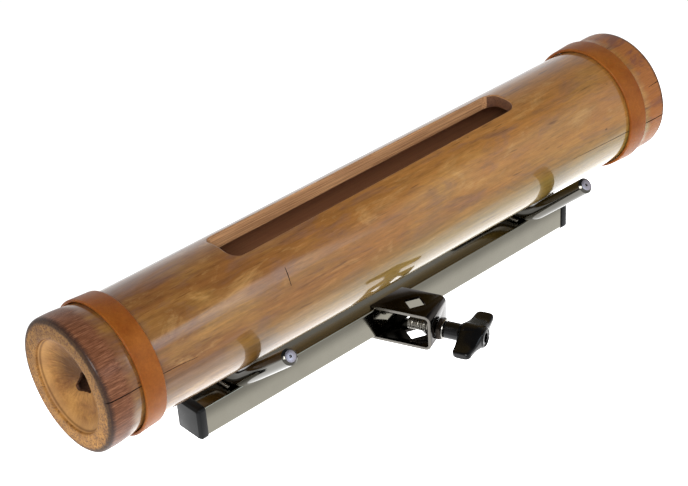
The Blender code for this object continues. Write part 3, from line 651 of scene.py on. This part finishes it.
def band_plan():
    """A ring swept round the cane's axis, then fitted to the cane's taper, with wandering edges."""
    tree, given = new_plan("stretched_band", [("Thin side radius", "Float"), ("Thick side radius", "Float"),
                                              ("Width", "Float"), ("Thickness", "Float"), ("Edge round", "Float"),
                                              ("Waver", "Float"), ("Seed", "Float"), ("Rubber", "Material")])
    ring = add(tree, "GeometryNodeCurvePrimitiveCircle", None, {"Resolution": 240, "Radius": 50 * MM})
    section = add(tree, "GeometryNodeCurvePrimitiveQuadrilateral", None, {"Width": given["Thickness"],
                                                                         "Height": given["Width"]})
    soft = add(tree, "GeometryNodeFilletCurve", {"mode": "POLY"}, {"Curve": section, "Count": 4,
                                                                   "Radius": given["Edge round"]})
    sweep = add(tree, "GeometryNodeCurveToMesh", None, {"Curve": ring, "Profile Curve": soft})
    upright = add(tree, "GeometryNodeTransform", None, {"Geometry": sweep, "Rotation": (0, radians(90), 0)})
    here = add(tree, "GeometryNodeInputPosition")
    part = add(tree, "ShaderNodeSeparateXYZ", None, {"Vector": here})
    flat = add(tree, "ShaderNodeVectorMath", {"operation": "MULTIPLY"}, {0: here, 1: (0, 1, 1)})
    reach = add(tree, "ShaderNodeVectorMath", {"operation": "LENGTH"}, {0: flat})
    round_way = add(tree, "ShaderNodeVectorMath", {"operation": "NORMALIZE"}, {0: flat})
    share = add(tree, "ShaderNodeMath", {"operation": "DIVIDE"}, {0: part.outputs["X"], 1: given["Width"]})
    middle_share = add(tree, "ShaderNodeMath", {"operation": "ADD"}, {0: share, 1: 0.5})
    under = add(tree, "ShaderNodeMapRange", None, {"Value": middle_share, "To Min": given["Thin side radius"],
                                                   "To Max": given["Thick side radius"]})
    layer = add(tree, "ShaderNodeMath", {"operation": "SUBTRACT"}, {0: reach.outputs["Value"], 1: 50 * MM})
    half = add(tree, "ShaderNodeMath", {"operation": "MULTIPLY_ADD"}, {0: given["Thickness"], 1: 0.5, 2: layer})
    new_reach = add(tree, "ShaderNodeMath", {"operation": "ADD"}, {0: under, 1: half})
    spread = add(tree, "ShaderNodeVectorMath", {"operation": "SCALE"}, {0: round_way, "Scale": new_reach})
    seat = add(tree, "ShaderNodeCombineXYZ", None, {"X": given["Seed"], "Y": share})
    around = add(tree, "ShaderNodeVectorMath", {"operation": "ADD"}, {0: round_way, 1: seat})
    wander = add(tree, "ShaderNodeTexNoise", None, {"Vector": around, "Scale": 2.6, "Detail": 2.0})
    swing = add(tree, "ShaderNodeMath", {"operation": "SUBTRACT"}, {0: wander, 1: 0.5})
    shift = add(tree, "ShaderNodeMath", {"operation": "MULTIPLY"}, {0: swing, 1: given["Waver"]})
    twice = add(tree, "ShaderNodeMath", {"operation": "MULTIPLY_ADD"}, {0: shift, 1: 2.0, 2: part.outputs["X"]})
    along = add(tree, "ShaderNodeCombineXYZ", None, {"X": twice})
    goal = add(tree, "ShaderNodeVectorMath", {"operation": "ADD"}, {0: spread, 1: along})
    fitted = add(tree, "GeometryNodeSetPosition", None, {"Geometry": upright, "Position": goal})
    whole = add(tree, "GeometryNodeRealizeInstances", None, {"Geometry": fitted})
    done = add(tree, "GeometryNodeSetMaterial", None, {"Geometry": whole, "Material": given["Rubber"]})
    add(tree, "NodeGroupOutput", None, {"Geometry": done})
    return tree


def gum_rubber():
    """Natural gum rubber: amber brown, satin from its talc, and letting a little light through."""
    made, tree = new_finish("amber_gum_rubber")
    spot = add(tree, "ShaderNodeTexCoord")
    cloud = grain(tree, spot.outputs["Object"], (55, 55, 55), 5.0, 0.55)
    # Talc dust and moulding grain of about 0.8 mm.
    dust = grain(tree, spot.outputs["Object"], (750, 750, 750), 3.0, 0.7)
    amber = lit_by(tree, ramp(tree, cloud, ((0.32, "783f12"), (0.68, "8e531d"))), span(tree, dust, 0.3, 0.7, 0.88, 1.12))
    bump = add(tree, "ShaderNodeBump", None, {"Height": dust, "Strength": 0.12, "Distance": 0.15 * MM})
    return finished(made, tree, {
        "Base Color": amber, "Roughness": span(tree, dust, 0.0, 1.0, 0.32, 0.5), "Specular IOR Level": 0.12,
        "Normal": bump, "Subsurface Weight": 0.35, "Subsurface Radius": (1.0, 0.45, 0.15),
        "Subsurface Scale": 1.6 * MM})


rubber = gum_rubber()
plan = band_plan()
for side, seed in (("left", 1.0), ("right", 6.0)):
    low, high = [Vector(corner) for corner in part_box("rubber_band_" + side)]
    middle = (low.x + high.x) / 2
    band = made_to_plan("band_" + side, plan, {
        "Thin side radius": cane_radius(middle - band_width / 2) + 0.3 * MM,
        "Thick side radius": cane_radius(middle + band_width / 2) + 0.3 * MM,
        "Width": band_width, "Thickness": band_thickness, "Edge round": band_edge, "Waver": band_waver,
        "Seed": seed, "Rubber": rubber})
    band.data.transform(Matrix.Translation((middle, cane_y, cane_z)))
    smooth(band, 50)
    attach(band, "band_" + side)
    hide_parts("rubber_band_" + side)


# Bar
# Square steel tube with rounded corners, cut to length and plated in the same smoky nickel bath as
# all of the holder. Only its flanks and top show; the cane and the rods mirror in them.

def nickel_plate(name, tint, haze, drawn):
    """Black nickel plate on drawn steel: a grey mirror, softened by faint lines along the drawing."""
    made, tree = new_finish(name)
    spot = add(tree, "ShaderNodeTexCoord")
    lines = grain(tree, spot.outputs["Object"], drawn)
    stain = grain(tree, spot.outputs["Object"], (35, 35, 35), 3.0)
    bump = add(tree, "ShaderNodeBump", None, {"Height": lines, "Strength": 0.06, "Distance": 0.08 * MM})
    return finished(made, tree, {
        "Base Color": lit_by(tree, colour(tint)[:3], span(tree, stain, 0.3, 0.7, 0.93, 1.05)), "Metallic": 1.0,
        "Roughness": span(tree, lines, 0.3, 0.7, haze * 0.7, haze * 1.3), "Normal": bump})


def machined_copy(node_name, finishes, edge=0.0, segments=2):
    """A merged copy of a CAD node with its corners eased by a small bevel."""
    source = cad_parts[node_name]
    work = bmesh.new()
    work.from_mesh(source.data)
    bmesh.ops.remove_doubles(work, verts=work.verts, dist=2e-6)
    bmesh.ops.dissolve_limit(work, angle_limit=radians(0.5), verts=work.verts, edges=work.edges)
    copy = solid_of(node_name + "_dressed", work)
    copy.data.transform(source.matrix_world)
    copy.data.materials.clear()
    for finish in finishes:
        copy.data.materials.append(finish)
    if edge:
        step = copy.modifiers.new("eased_edges", "BEVEL")
        step.width = edge
        step.segments = segments
        step.limit_method = "ANGLE"
        step.angle_limit = radians(35)
        step.harden_normals = False
        copy = settle(copy)
    smooth(copy, 35)
    return copy


bar = machined_copy("bar", [nickel_plate("black_nickel_on_drawn_bar", "757268", 0.08, (45, 1100, 1100))])
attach(bar, "holder")
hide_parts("bar")


# End caps
# Two black polythene plugs pushed into the bar, each with a chamfered head a little larger than it.

def moulded_black(name, tint, rough, shine):
    """Black thermoplastic from a spark-eroded mould: fine grain of 0.7 mm and a soft shine."""
    made, tree = new_finish(name)
    spot = add(tree, "ShaderNodeTexCoord")
    pits = grain(tree, spot.outputs["Object"], (1400, 1400, 1400), 2.0)
    wear = grain(tree, spot.outputs["Object"], (110, 110, 110))
    bump = add(tree, "ShaderNodeBump", None, {"Height": pits, "Strength": 0.15, "Distance": 0.06 * MM})
    return finished(made, tree, {
        "Base Color": lit_by(tree, colour(tint)[:3], span(tree, wear, 0.0, 1.0, 0.8, 1.25)),
        "Roughness": span(tree, wear, 0.35, 0.7, rough * 0.8, rough * 1.25), "Normal": bump,
        "Specular IOR Level": shine})


polythene = moulded_black("black_polythene", "0c0d0e", 0.34, 0.15)
for side in ("left", "right"):
    cap = machined_copy("end_cap_" + side, [polythene], 0.45 * MM)
    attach(cap, "holder")
    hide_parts("end_cap_" + side)


# Cradle rods
# Two 10 mm steel rods, each bent cold to a V whose arms touch the cane, with turned ends: a chamfer
# round a faced disc that keeps the small dimple of the lathe centre.

rod_radius = 5.0 * MM
rod_seat = 0.3 * MM
rod_reach = 59.3 * MM
rod_chamfer = 1.3 * MM
bar_low, bar_high = [Vector(corner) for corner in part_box("bar")]
bar_y = (bar_low.y + bar_high.y) / 2
rod_low_z = bar_high.z + rod_seat + rod_radius


def rod_plan():
    """A round rod swept along a path, smaller at its two ends for the chamfer."""
    tree, given = new_plan("bent_rod", [("Radius", "Float"), ("End share", "Float"), ("Plating", "Material")])
    path = add(tree, "GeometryNodeMeshToCurve", None, {"Mesh": given["Geometry"]})
    ends = add(tree, "GeometryNodeCurveEndpointSelection")
    full = add(tree, "ShaderNodeMath", {"operation": "SUBTRACT"}, {0: 1.0, 1: given["End share"]})
    thin = add(tree, "ShaderNodeMath", {"operation": "MULTIPLY"}, {0: ends, 1: full})
    share = add(tree, "ShaderNodeMath", {"operation": "SUBTRACT"}, {0: 1.0, 1: thin})
    section = add(tree, "GeometryNodeCurvePrimitiveCircle", None, {"Resolution": 48, "Radius": given["Radius"]})
    swept = add(tree, "GeometryNodeCurveToMesh", None, {"Curve": path, "Profile Curve": section, "Scale": share,
                                                        "Fill Caps": True})
    whole = add(tree, "GeometryNodeRealizeInstances", None, {"Geometry": swept})
    done = add(tree, "GeometryNodeSetMaterial", None, {"Geometry": whole, "Material": given["Plating"]})
    add(tree, "NodeGroupOutput", None, {"Geometry": done})
    return tree


def rod_path(x, turn, bend):
    """A chain of edges along the middle of a rod: arm, bend over the bar, arm."""
    half = [(bend * sin(turn * step / 20), rod_low_z + bend - bend * cos(turn * step / 20)) for step in range(21)]
    last_y, last_z = half[-1]
    end_z = last_z + (rod_reach - last_y) * tan(turn)
    half += [(rod_reach - rod_chamfer * cos(turn), end_z - rod_chamfer * sin(turn)), (rod_reach, end_z)]
    points = [(-y, z) for y, z in half[:0:-1]] + half
    mesh = bpy.data.meshes.new("path")
    mesh.from_pydata([(x, bar_y + y, z) for y, z in points], [(i, i + 1) for i in range(len(points) - 1)], [])
    return mesh


plan = rod_plan()
rod_plating = nickel_plate("black_nickel_on_bright_rod", "55534e", 0.07, (260, 260, 260))
rod_end = nickel_plate("black_nickel_on_faced_end", "8f8a92", 0.3, (900, 900, 900))
rods = {}
for side, turn in (("left", radians(39.6)), ("right", radians(41.2))):
    low, high = [Vector(corner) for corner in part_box("cradle_rod_" + side)]
    x = (low.x + high.x) / 2
    apex = cane_z - (shaft_radius(x) + rod_seat + rod_radius) / cos(turn)
    bend = (rod_low_z - apex) / (1 / cos(turn) - 1)
    rod = made_to_plan("rod_" + side, plan, {"Radius": rod_radius, "End share": 1 - rod_chamfer / rod_radius,
                                             "Plating": rod_plating}, rod_path(x, turn, bend))
    work = bmesh.new()
    work.from_mesh(rod.data)
    for disc in [face for face in work.faces if len(face.verts) > 12]:
        bmesh.ops.inset_individual(work, faces=[disc], thickness=0.25 * MM, depth=0.1 * MM)
        bmesh.ops.inset_individual(work, faces=[disc], thickness=2.55 * MM)
        bmesh.ops.inset_individual(work, faces=[disc], thickness=0.6 * MM, depth=-0.8 * MM)
    work.to_mesh(rod.data)
    work.free()
    rod.data.materials.append(rod_end)
    for face in rod.data.polygons:
        if abs(face.normal.y) * cos(turn) + face.normal.z * sin(turn) > 0.96 and face.center.z > cane_z - 30 * MM:
            face.material_index = 1
    smooth(rod, 25)
    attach(rod, "holder")
    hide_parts("cradle_rod_" + side)
    rods[side] = x


# Weld beads
# A short run of weld on each side of a rod where it crosses the bar, laid as a row of overlapping
# puddles and plated over with the rest.

def weld_plan():
    """Overlapping rounded puddles along a line, no two quite alike."""
    tree, given = new_plan("weld_bead", [("Radius", "Float"), ("Start", "Vector"), ("Step", "Vector"),
                                         ("Count", "Int"), ("Seed", "Int"), ("Plating", "Material")])
    line = add(tree, "GeometryNodeMeshLine", None, {"Count": given["Count"], "Start Location": given["Start"],
                                                    "Offset": given["Step"]})
    puddle = add(tree, "GeometryNodeMeshUVSphere", None, {"Segments": 16, "Rings": 10, "Radius": given["Radius"]})
    least = add(tree, "FunctionNodeRandomValue", {"data_type": "FLOAT_VECTOR"},
                {"Min": (0.86, 0.55, 0.84), "Max": (1.0, 0.7, 1.0), "Seed": given["Seed"]})
    row = add(tree, "GeometryNodeInstanceOnPoints", None, {"Points": line, "Instance": puddle.outputs["Mesh"],
                                                           "Rotation": (radians(24), 0, 0), "Scale": least})
    whole = add(tree, "GeometryNodeRealizeInstances", None, {"Geometry": row})
    done = add(tree, "GeometryNodeSetMaterial", None, {"Geometry": whole, "Material": given["Plating"]})
    add(tree, "NodeGroupOutput", None, {"Geometry": done})
    return tree


plan = weld_plan()
weld_plating = nickel_plate("black_nickel_on_weld", "625f58", 0.2, (900, 900, 900))
puddles = 15
seed = 3
for side in ("left", "right"):
    for flank in ("outer", "inner"):
        low, high = [Vector(corner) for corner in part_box("weld_" + side + "_" + flank)]
        radius = (high.x - low.x) / 2
        start = Vector(((low.x + high.x) / 2, low.y + radius, (low.z + high.z) / 2))
        pace = Vector((0, (high.y - low.y - 2 * radius) / (puddles - 1), 0))
        weld = made_to_plan("weld_bead_" + side + "_" + flank, plan, {
            "Radius": radius, "Start": start, "Step": pace, "Count": puddles, "Seed": seed, "Plating": weld_plating})
        seed += 1
        smooth(weld, 80)
        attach(weld, "holder")
        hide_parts("weld_" + side + "_" + flank)


# Clamp bracket
# A 25 mm strap bent to a U and welded round the bar, 22.5 degrees out of square. A square hole set
# cornerwise in each leg takes the stand post. Its edges are plated lighter than its faces, as a painted highlight.

strap_side = Vector((0.92388, 0.382683, 0))
strap_plating = nickel_plate("black_nickel_on_strap", "363230", 0.14, (160, 160, 160))
painted_highlight_plating = nickel_plate("black_nickel_painted_edge_highlight", "625f5a", 0.24, (700, 700, 700))
bracket = machined_copy("clamp_bracket", [strap_plating, painted_highlight_plating], 0.45 * MM)
# The strap's edge faces, front and back, take the lighter plating: a painted highlight.
for face in bracket.data.polygons:
    if abs(face.normal.dot(strap_side)) > 0.5 and (face.center - Vector((0, 0, 0))).dot(strap_side) ** 2 > (11.5 * MM) ** 2:
        face.material_index = 1
    elif abs(face.normal.y) > 0.3 and face.center.y > 15.5 * MM:
        face.material_index = 1
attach(bracket, "holder")
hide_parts("clamp_bracket")


# Clamp nut and washer
# A thin M8 nut in black oxide, welded on the bracket's front, and a bright washer against it.

bolt_axis = Vector((0.382683, -0.92388, 0))
bolt_z = -3.2 * MM
bolt_place = Matrix.Translation((0, 0, bolt_z)) @ Matrix((
    (bolt_axis.x, strap_side.x, 0, 0), (bolt_axis.y, strap_side.y, 0, 0), (0, 0, 1, 0), (0, 0, 0, 1)))


def turned_on_bolt(name, profile, steps=64):
    """A body turned about the bolt's axis; profile is (radius, place along the bolt), closed if no radius is zero."""
    work = bmesh.new()
    rings = []
    for radius, along in profile:
        if radius < 1e-9:
            rings.append([(along, 0, 0)])
            continue
        rings.append([(along, radius * sin(2 * pi * i / steps), radius * cos(2 * pi * i / steps)) for i in range(steps)])
    skinned(work, rings, profile[0][0] > 1e-9)
    made = solid_of(name, work)
    made.matrix_world = bolt_place
    return settle(made)


nut_start = 15.6 * MM
nut_end = 18.6 * MM
nut_flat = 6.5 * MM
nut_corner = nut_flat / cos(radians(30))
work = bmesh.new()
corner_rings = []
for along in (nut_start, nut_end):
    corner_rings.append([(along, nut_corner * sin(radians(60 * i)), nut_corner * cos(radians(60 * i))) for i in range(6)])
skinned(work, [[(nut_start, 0, 0)]] + corner_rings + [[(nut_end, 0, 0)]], False)
hexagon = solid_of("hexagon", work)
hexagon.matrix_world = bolt_place
hexagon = settle(hexagon)
turning = turned_on_bolt("turning", [(0, nut_start), (nut_flat - 0.1 * MM, nut_start),
                                     (nut_corner + 0.2 * MM, nut_start + 0.75 * MM),
                                     (nut_corner + 0.2 * MM, nut_end - 0.75 * MM),
                                     (nut_flat - 0.1 * MM, nut_end), (0, nut_end)])
nut = carve(hexagon, turning, "INTERSECT")
nut = carve(nut, turned_on_bolt("nut_hole", [(0, nut_start - MM), (5.0 * MM, nut_start - MM),
                                             (4.3 * MM, nut_start + 0.6 * MM), (4.3 * MM, nut_end - 0.6 * MM),
                                             (5.0 * MM, nut_end + MM), (0, nut_end + MM)]))
nut.name = "clamp_nut_dressed"
nut.data.materials.clear()
nut.data.materials.append(nickel_plate("black_oxide", "38322e", 0.34, (700, 700, 700)))
smooth(nut, 20)
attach(nut, "holder")
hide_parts("clamp_nut")

washer_start = 18.9 * MM
washer_end = 19.7 * MM
washer_out = 6.5 * MM
washer_in = 4.3 * MM
ease = 0.2 * MM
washer = turned_on_bolt("washer_dressed", [
    (washer_in, washer_end - ease), (washer_in + ease, washer_end), (washer_out - 2 * ease, washer_end),
    (washer_out - 0.5 * ease, washer_end - 0.5 * ease), (washer_out, washer_end - 1.5 * ease),
    (washer_out, washer_start + ease), (washer_out - ease, washer_start), (washer_in, washer_start)])
washer.data.materials.append(nickel_plate("bright_nickel_washer", "93918c", 0.14, (600, 600, 600)))
smooth(washer, 30)
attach(washer, "bolt_washer")
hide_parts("washer")


# Wing bolt
# A zinc-plated M8 stud, its thread showing inside the bracket, moulded into a black wing knob with
# round neck and hub. The knob is one moulding, so its wings run into the hub in soft fillets.

stud_radius = 4.0 * MM
stud_tip = -4.0 * MM
stud_head = 38.6 * MM
thread_end = 20.0 * MM
thread_pitch = 1.25 * MM
thread_depth = 0.68 * MM


def thread_plan():
    """A thread wound on the plain stud that comes in; the axis is Z and the tip is at the start."""
    tree, given = new_plan("bolt_thread", [("Outer radius", "Float"), ("Depth", "Float"), ("Pitch", "Float"),
                                           ("Length", "Float"), ("Plating", "Material")])
    turns_needed = add(tree, "ShaderNodeMath", {"operation": "DIVIDE"}, {0: given["Length"], 1: given["Pitch"]})
    ridge = add(tree, "ShaderNodeMath", {"operation": "MULTIPLY"}, {0: given["Depth"], 1: 0.62})
    middle = add(tree, "ShaderNodeMath", {"operation": "SUBTRACT"}, {0: given["Outer radius"], 1: ridge})
    helix = add(tree, "GeometryNodeCurveSpiral", None, {"Resolution": 28, "Rotations": turns_needed,
                                                        "Start Radius": middle, "End Radius": middle,
                                                        "Height": given["Length"]})
    section = add(tree, "GeometryNodeCurvePrimitiveCircle", None, {"Resolution": 6, "Radius": ridge})
    wound = add(tree, "GeometryNodeCurveToMesh", None, {"Curve": helix, "Profile Curve": section, "Fill Caps": True})
    both = add(tree, "GeometryNodeJoinGeometry")
    tree.links.new(given["Geometry"], both.inputs[0])
    tree.links.new(wound.outputs[0], both.inputs[0])
    whole = add(tree, "GeometryNodeRealizeInstances", None, {"Geometry": both})
    done = add(tree, "GeometryNodeSetMaterial", None, {"Geometry": whole, "Material": given["Plating"]})
    add(tree, "NodeGroupOutput", None, {"Geometry": done})
    return tree


work = bmesh.new()
root = stud_radius - thread_depth
stud_profile = [(0, 0), (root - 0.7 * MM, 0), (root, 0.7 * MM), (root, thread_end - stud_tip),
                (stud_radius, thread_end - stud_tip + 0.4 * MM), (stud_radius, stud_head - stud_tip),
                (0, stud_head - stud_tip)]
skinned(work, [[(0, 0, along)] if radius < 1e-9 else
               [(radius * sin(2 * pi * i / 40), radius * cos(2 * pi * i / 40), along) for i in range(40)]
               for radius, along in stud_profile], False)
blank = solid_of("stud_blank", work)
stud = made_to_plan("bolt_stud_dressed", thread_plan(), {
    "Outer radius": stud_radius - 0.05 * MM, "Depth": thread_depth, "Pitch": thread_pitch,
    "Length": thread_end - stud_tip - 0.6 * MM,
    "Plating": nickel_plate("bright_zinc_thread", "85827a", 0.36, (500, 500, 500))}, blank.data)
bpy.data.objects.remove(blank, do_unlink=True)
stud.data.transform(bolt_place @ Matrix.Translation((stud_tip, 0, 0)) @ Matrix.Rotation(radians(90), 4, "Y"))
smooth(stud, 35)
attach(stud, "wing_bolt")
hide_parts("bolt_stud")

knob_profile = [(0, 20.0), (4.9, 20.0), (5.4, 20.5), (5.4, 29.4), (6.2, 30.2), (7.0, 31.6), (7.2, 33.0), (6.9, 41.0)]
knob_profile += [(reach + 4.9, along + 44.6) for along, reach in arc((0, 0), 1.6, 0, 90, 6)]
knob_profile.append((0, 46.2))
work = bmesh.new()
skinned(work, [[(along * MM, 0, 0)] if radius == 0 else
               [(along * MM, radius * MM * sin(2 * pi * i / 64), radius * MM * cos(2 * pi * i / 64)) for i in range(64)]
               for radius, along in knob_profile], False)
tilt = Matrix.Rotation(radians(3.5), 3, "X")
wing_rings = []
for reach in [-21.35 * sin(radians(step * 3)) for step in range(-30, 31)]:
    root = min(max((18.3 - abs(reach)) / 13.5, 0), 1)
    corner = sqrt(max(0, 1 - max(0, (abs(reach) - 18.3) / 3.2) ** 2))
    long = 2.75 + 3.2 * corner + 2.2 * root * (0.5 + 0.5 * root)
    core = min(max((15.0 - abs(reach)) / 15.0, 0), 1)
    thick = 1.3 + 1.1 * sqrt(max(0, 1 - max(0, (abs(reach) - 19.9) / 1.6) ** 2)) + 4.3 * core * core * (3 - 2 * core)
    points = []
    for turn in [2 * pi * step / 40 for step in range(40)]:
        out = (abs(cos(turn)) ** 4 + abs(sin(turn)) ** 4) ** -0.25
        points.append(tilt @ Vector(((37.6 + long * out * cos(turn)) * MM, reach * MM, thick * out * sin(turn) * MM)))
    wing_rings.append(points)
ends = [[tilt @ Vector((37.6 * MM, reach * MM, 0))] for reach in (21.35, -21.35)]
skinned(work, [ends[0]] + wing_rings + [ends[1]], False)
knob = solid_of("wing_knob_dressed", work)
knob.matrix_world = bolt_place
knob = settle(knob)
remesh = knob.modifiers.new("one_moulding", "REMESH")
remesh.mode = "VOXEL"
remesh.voxel_size = 0.3 * MM
soften = knob.modifiers.new("fillets", "SMOOTH")
soften.factor = 0.5
soften.iterations = 7
knob = settle(knob)
knob = carve(knob, turned_on_bolt("stud_bore", [(0, 19 * MM), (4.3 * MM, 19 * MM), (4.3 * MM, 38.9 * MM), (0, 38.9 * MM)]))
knob = carve(knob, turned_on_bolt("hub_hole", [(0, 42.2 * MM), (3.1 * MM, 42.2 * MM), (3.1 * MM, 45.9 * MM),
                                               (3.5 * MM, 46.3 * MM), (3.5 * MM, 48 * MM), (0, 48 * MM)]))
knob.data.materials.clear()
knob.data.materials.append(moulded_black("black_nylon", "060606", 0.2, 0.26))
smooth(knob, 50)
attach(knob, "wing_bolt")
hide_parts("wing_knob")


# Studio
# White paper far below the instrument, which hangs on its stand post. The paper glows most beneath
# it, the horizon is bright and the ceiling dark; a cool soft box stands to the front right.

paper_z = -0.50
work = bmesh.new()
bmesh.ops.create_grid(work, x_segments=1, y_segments=1, size=7.0)
paper = solid_of("paper_floor", work)
paper.location = (0, 0, paper_z)
glow, tree = new_finish("glowing_white_paper")
spot = add(tree, "ShaderNodeTexCoord")
ground = add(tree, "ShaderNodeSeparateXYZ", None, {"Vector": spot.outputs["Object"]})
front = add(tree, "ShaderNodeMapRange", {"interpolation_type": "SMOOTHSTEP"}, {
    "Value": ground.outputs["Y"], "From Min": -0.70, "From Max": -0.5, "To Max": 0.6})
near = add(tree, "ShaderNodeMapRange", {"interpolation_type": "SMOOTHSTEP"}, {
    "Value": ground.outputs["Y"], "From Min": -0.34, "From Max": -0.22, "To Max": 0.4})
front = add(tree, "ShaderNodeMath", {"operation": "ADD"}, {0: front, 1: near})
back = add(tree, "ShaderNodeMapRange", {"interpolation_type": "SMOOTHSTEP"}, {
    "Value": ground.outputs["Y"], "From Min": 0.6, "From Max": 0.9, "To Min": 1.0, "To Max": 0.0})
across = add(tree, "ShaderNodeMath", {"operation": "ABSOLUTE"}, {0: ground.outputs["X"]})
ends = add(tree, "ShaderNodeMapRange", {"interpolation_type": "SMOOTHSTEP"}, {
    "Value": across, "From Min": 1.1, "From Max": 1.3, "To Min": 1.0, "To Max": 0.0})
depth = add(tree, "ShaderNodeMath", {"operation": "MULTIPLY"}, {0: front, 1: back})
table = add(tree, "ShaderNodeMath", {"operation": "MULTIPLY"}, {0: depth, 1: ends})
# The paper's own glow, strongest in a patch beneath the instrument, is painted light; it also lights the instrument
# from below.
pool = add(tree, "ShaderNodeMath", {"operation": "MULTIPLY_ADD"}, {0: table, 1: 1.5, 2: 1.03})
shine = add(tree, "ShaderNodeEmission", None, {"Strength": pool, "Color": (1, 1, 1, 1)})
# Seen from below the paper is clear, so that the underside can be looked at.
back_side = add(tree, "ShaderNodeNewGeometry").outputs["Backfacing"]
clear = add(tree, "ShaderNodeBsdfTransparent")
sheet = add(tree, "ShaderNodeMixShader", None, {0: back_side, 1: shine, 2: clear})
add(tree, "ShaderNodeOutputMaterial", None, {"Surface": sheet})
paper.data.materials.append(glow)


def soft_box(name, place, aim, size, radiance, tint=(1, 1, 1)):
    """Panels of falling size over one another, so that the box is brightest in its middle; none shows itself."""
    for layer in range(6):
        share = 1.15 - 0.15 * layer
        data = bpy.data.lights.new(name, "AREA")
        data.shape = "RECTANGLE"
        data.size = share * size[0]
        data.size_y = share * size[1]
        data.energy = radiance * pi * data.size * data.size_y / 4
        data.color = tint
        lamp = link(bpy.data.objects.new(name, data))
        lamp.location = Vector(place) + (Vector(aim) - Vector(place)).normalized() * 0.001 * layer
        lamp.rotation_euler = (Vector(aim) - Vector(place)).to_track_quat("-Z", "Y").to_euler()
        lamp.visible_camera = False


soft_box("cool_box", (0.40, -0.98, 0.68), (-0.1, 0, 0.08), (0.46, 0.36), 2.3, (0.78, 0.94, 1.1))
soft_box("wide_box", (0.72, -0.95, 0.60), (0, 0, 0.08), (1.3, 0.75), 0.35, (0.9, 0.98, 1.05))
soft_box("key_box", (-1.1, -1.0, 1.3), (0, 0, 0.05), (0.9, 0.9), 11.5)

world = bpy.data.worlds.new("studio")
bpy.context.scene.world = world
world.use_nodes = True
tree = world.node_tree
tree.nodes.clear()
sky = add(tree, "ShaderNodeTexCoord")
rise = add(tree, "ShaderNodeSeparateXYZ", None, {"Vector": sky.outputs["Generated"]})
walls = add(tree, "ShaderNodeValToRGB", None, {"Fac": rise.outputs["Z"]})
walls.color_ramp.elements[0].position = 0.0
walls.color_ramp.elements[0].color = (1.15, 1.15, 1.16, 1)
walls.color_ramp.elements[1].position = 1.0
walls.color_ramp.elements[1].color = (0.10, 0.10, 0.105, 1)
walls.color_ramp.elements.new(0.515).color = (0.68, 0.67, 0.66, 1)
walls.color_ramp.elements.new(0.80).color = (0.14, 0.14, 0.15, 1)
air = add(tree, "ShaderNodeBackground", None, {"Color": walls, "Strength": 1.0})
add(tree, "ShaderNodeOutputWorld", None, {"Surface": air})
bpy.context.scene.view_settings.view_transform = "Standard"
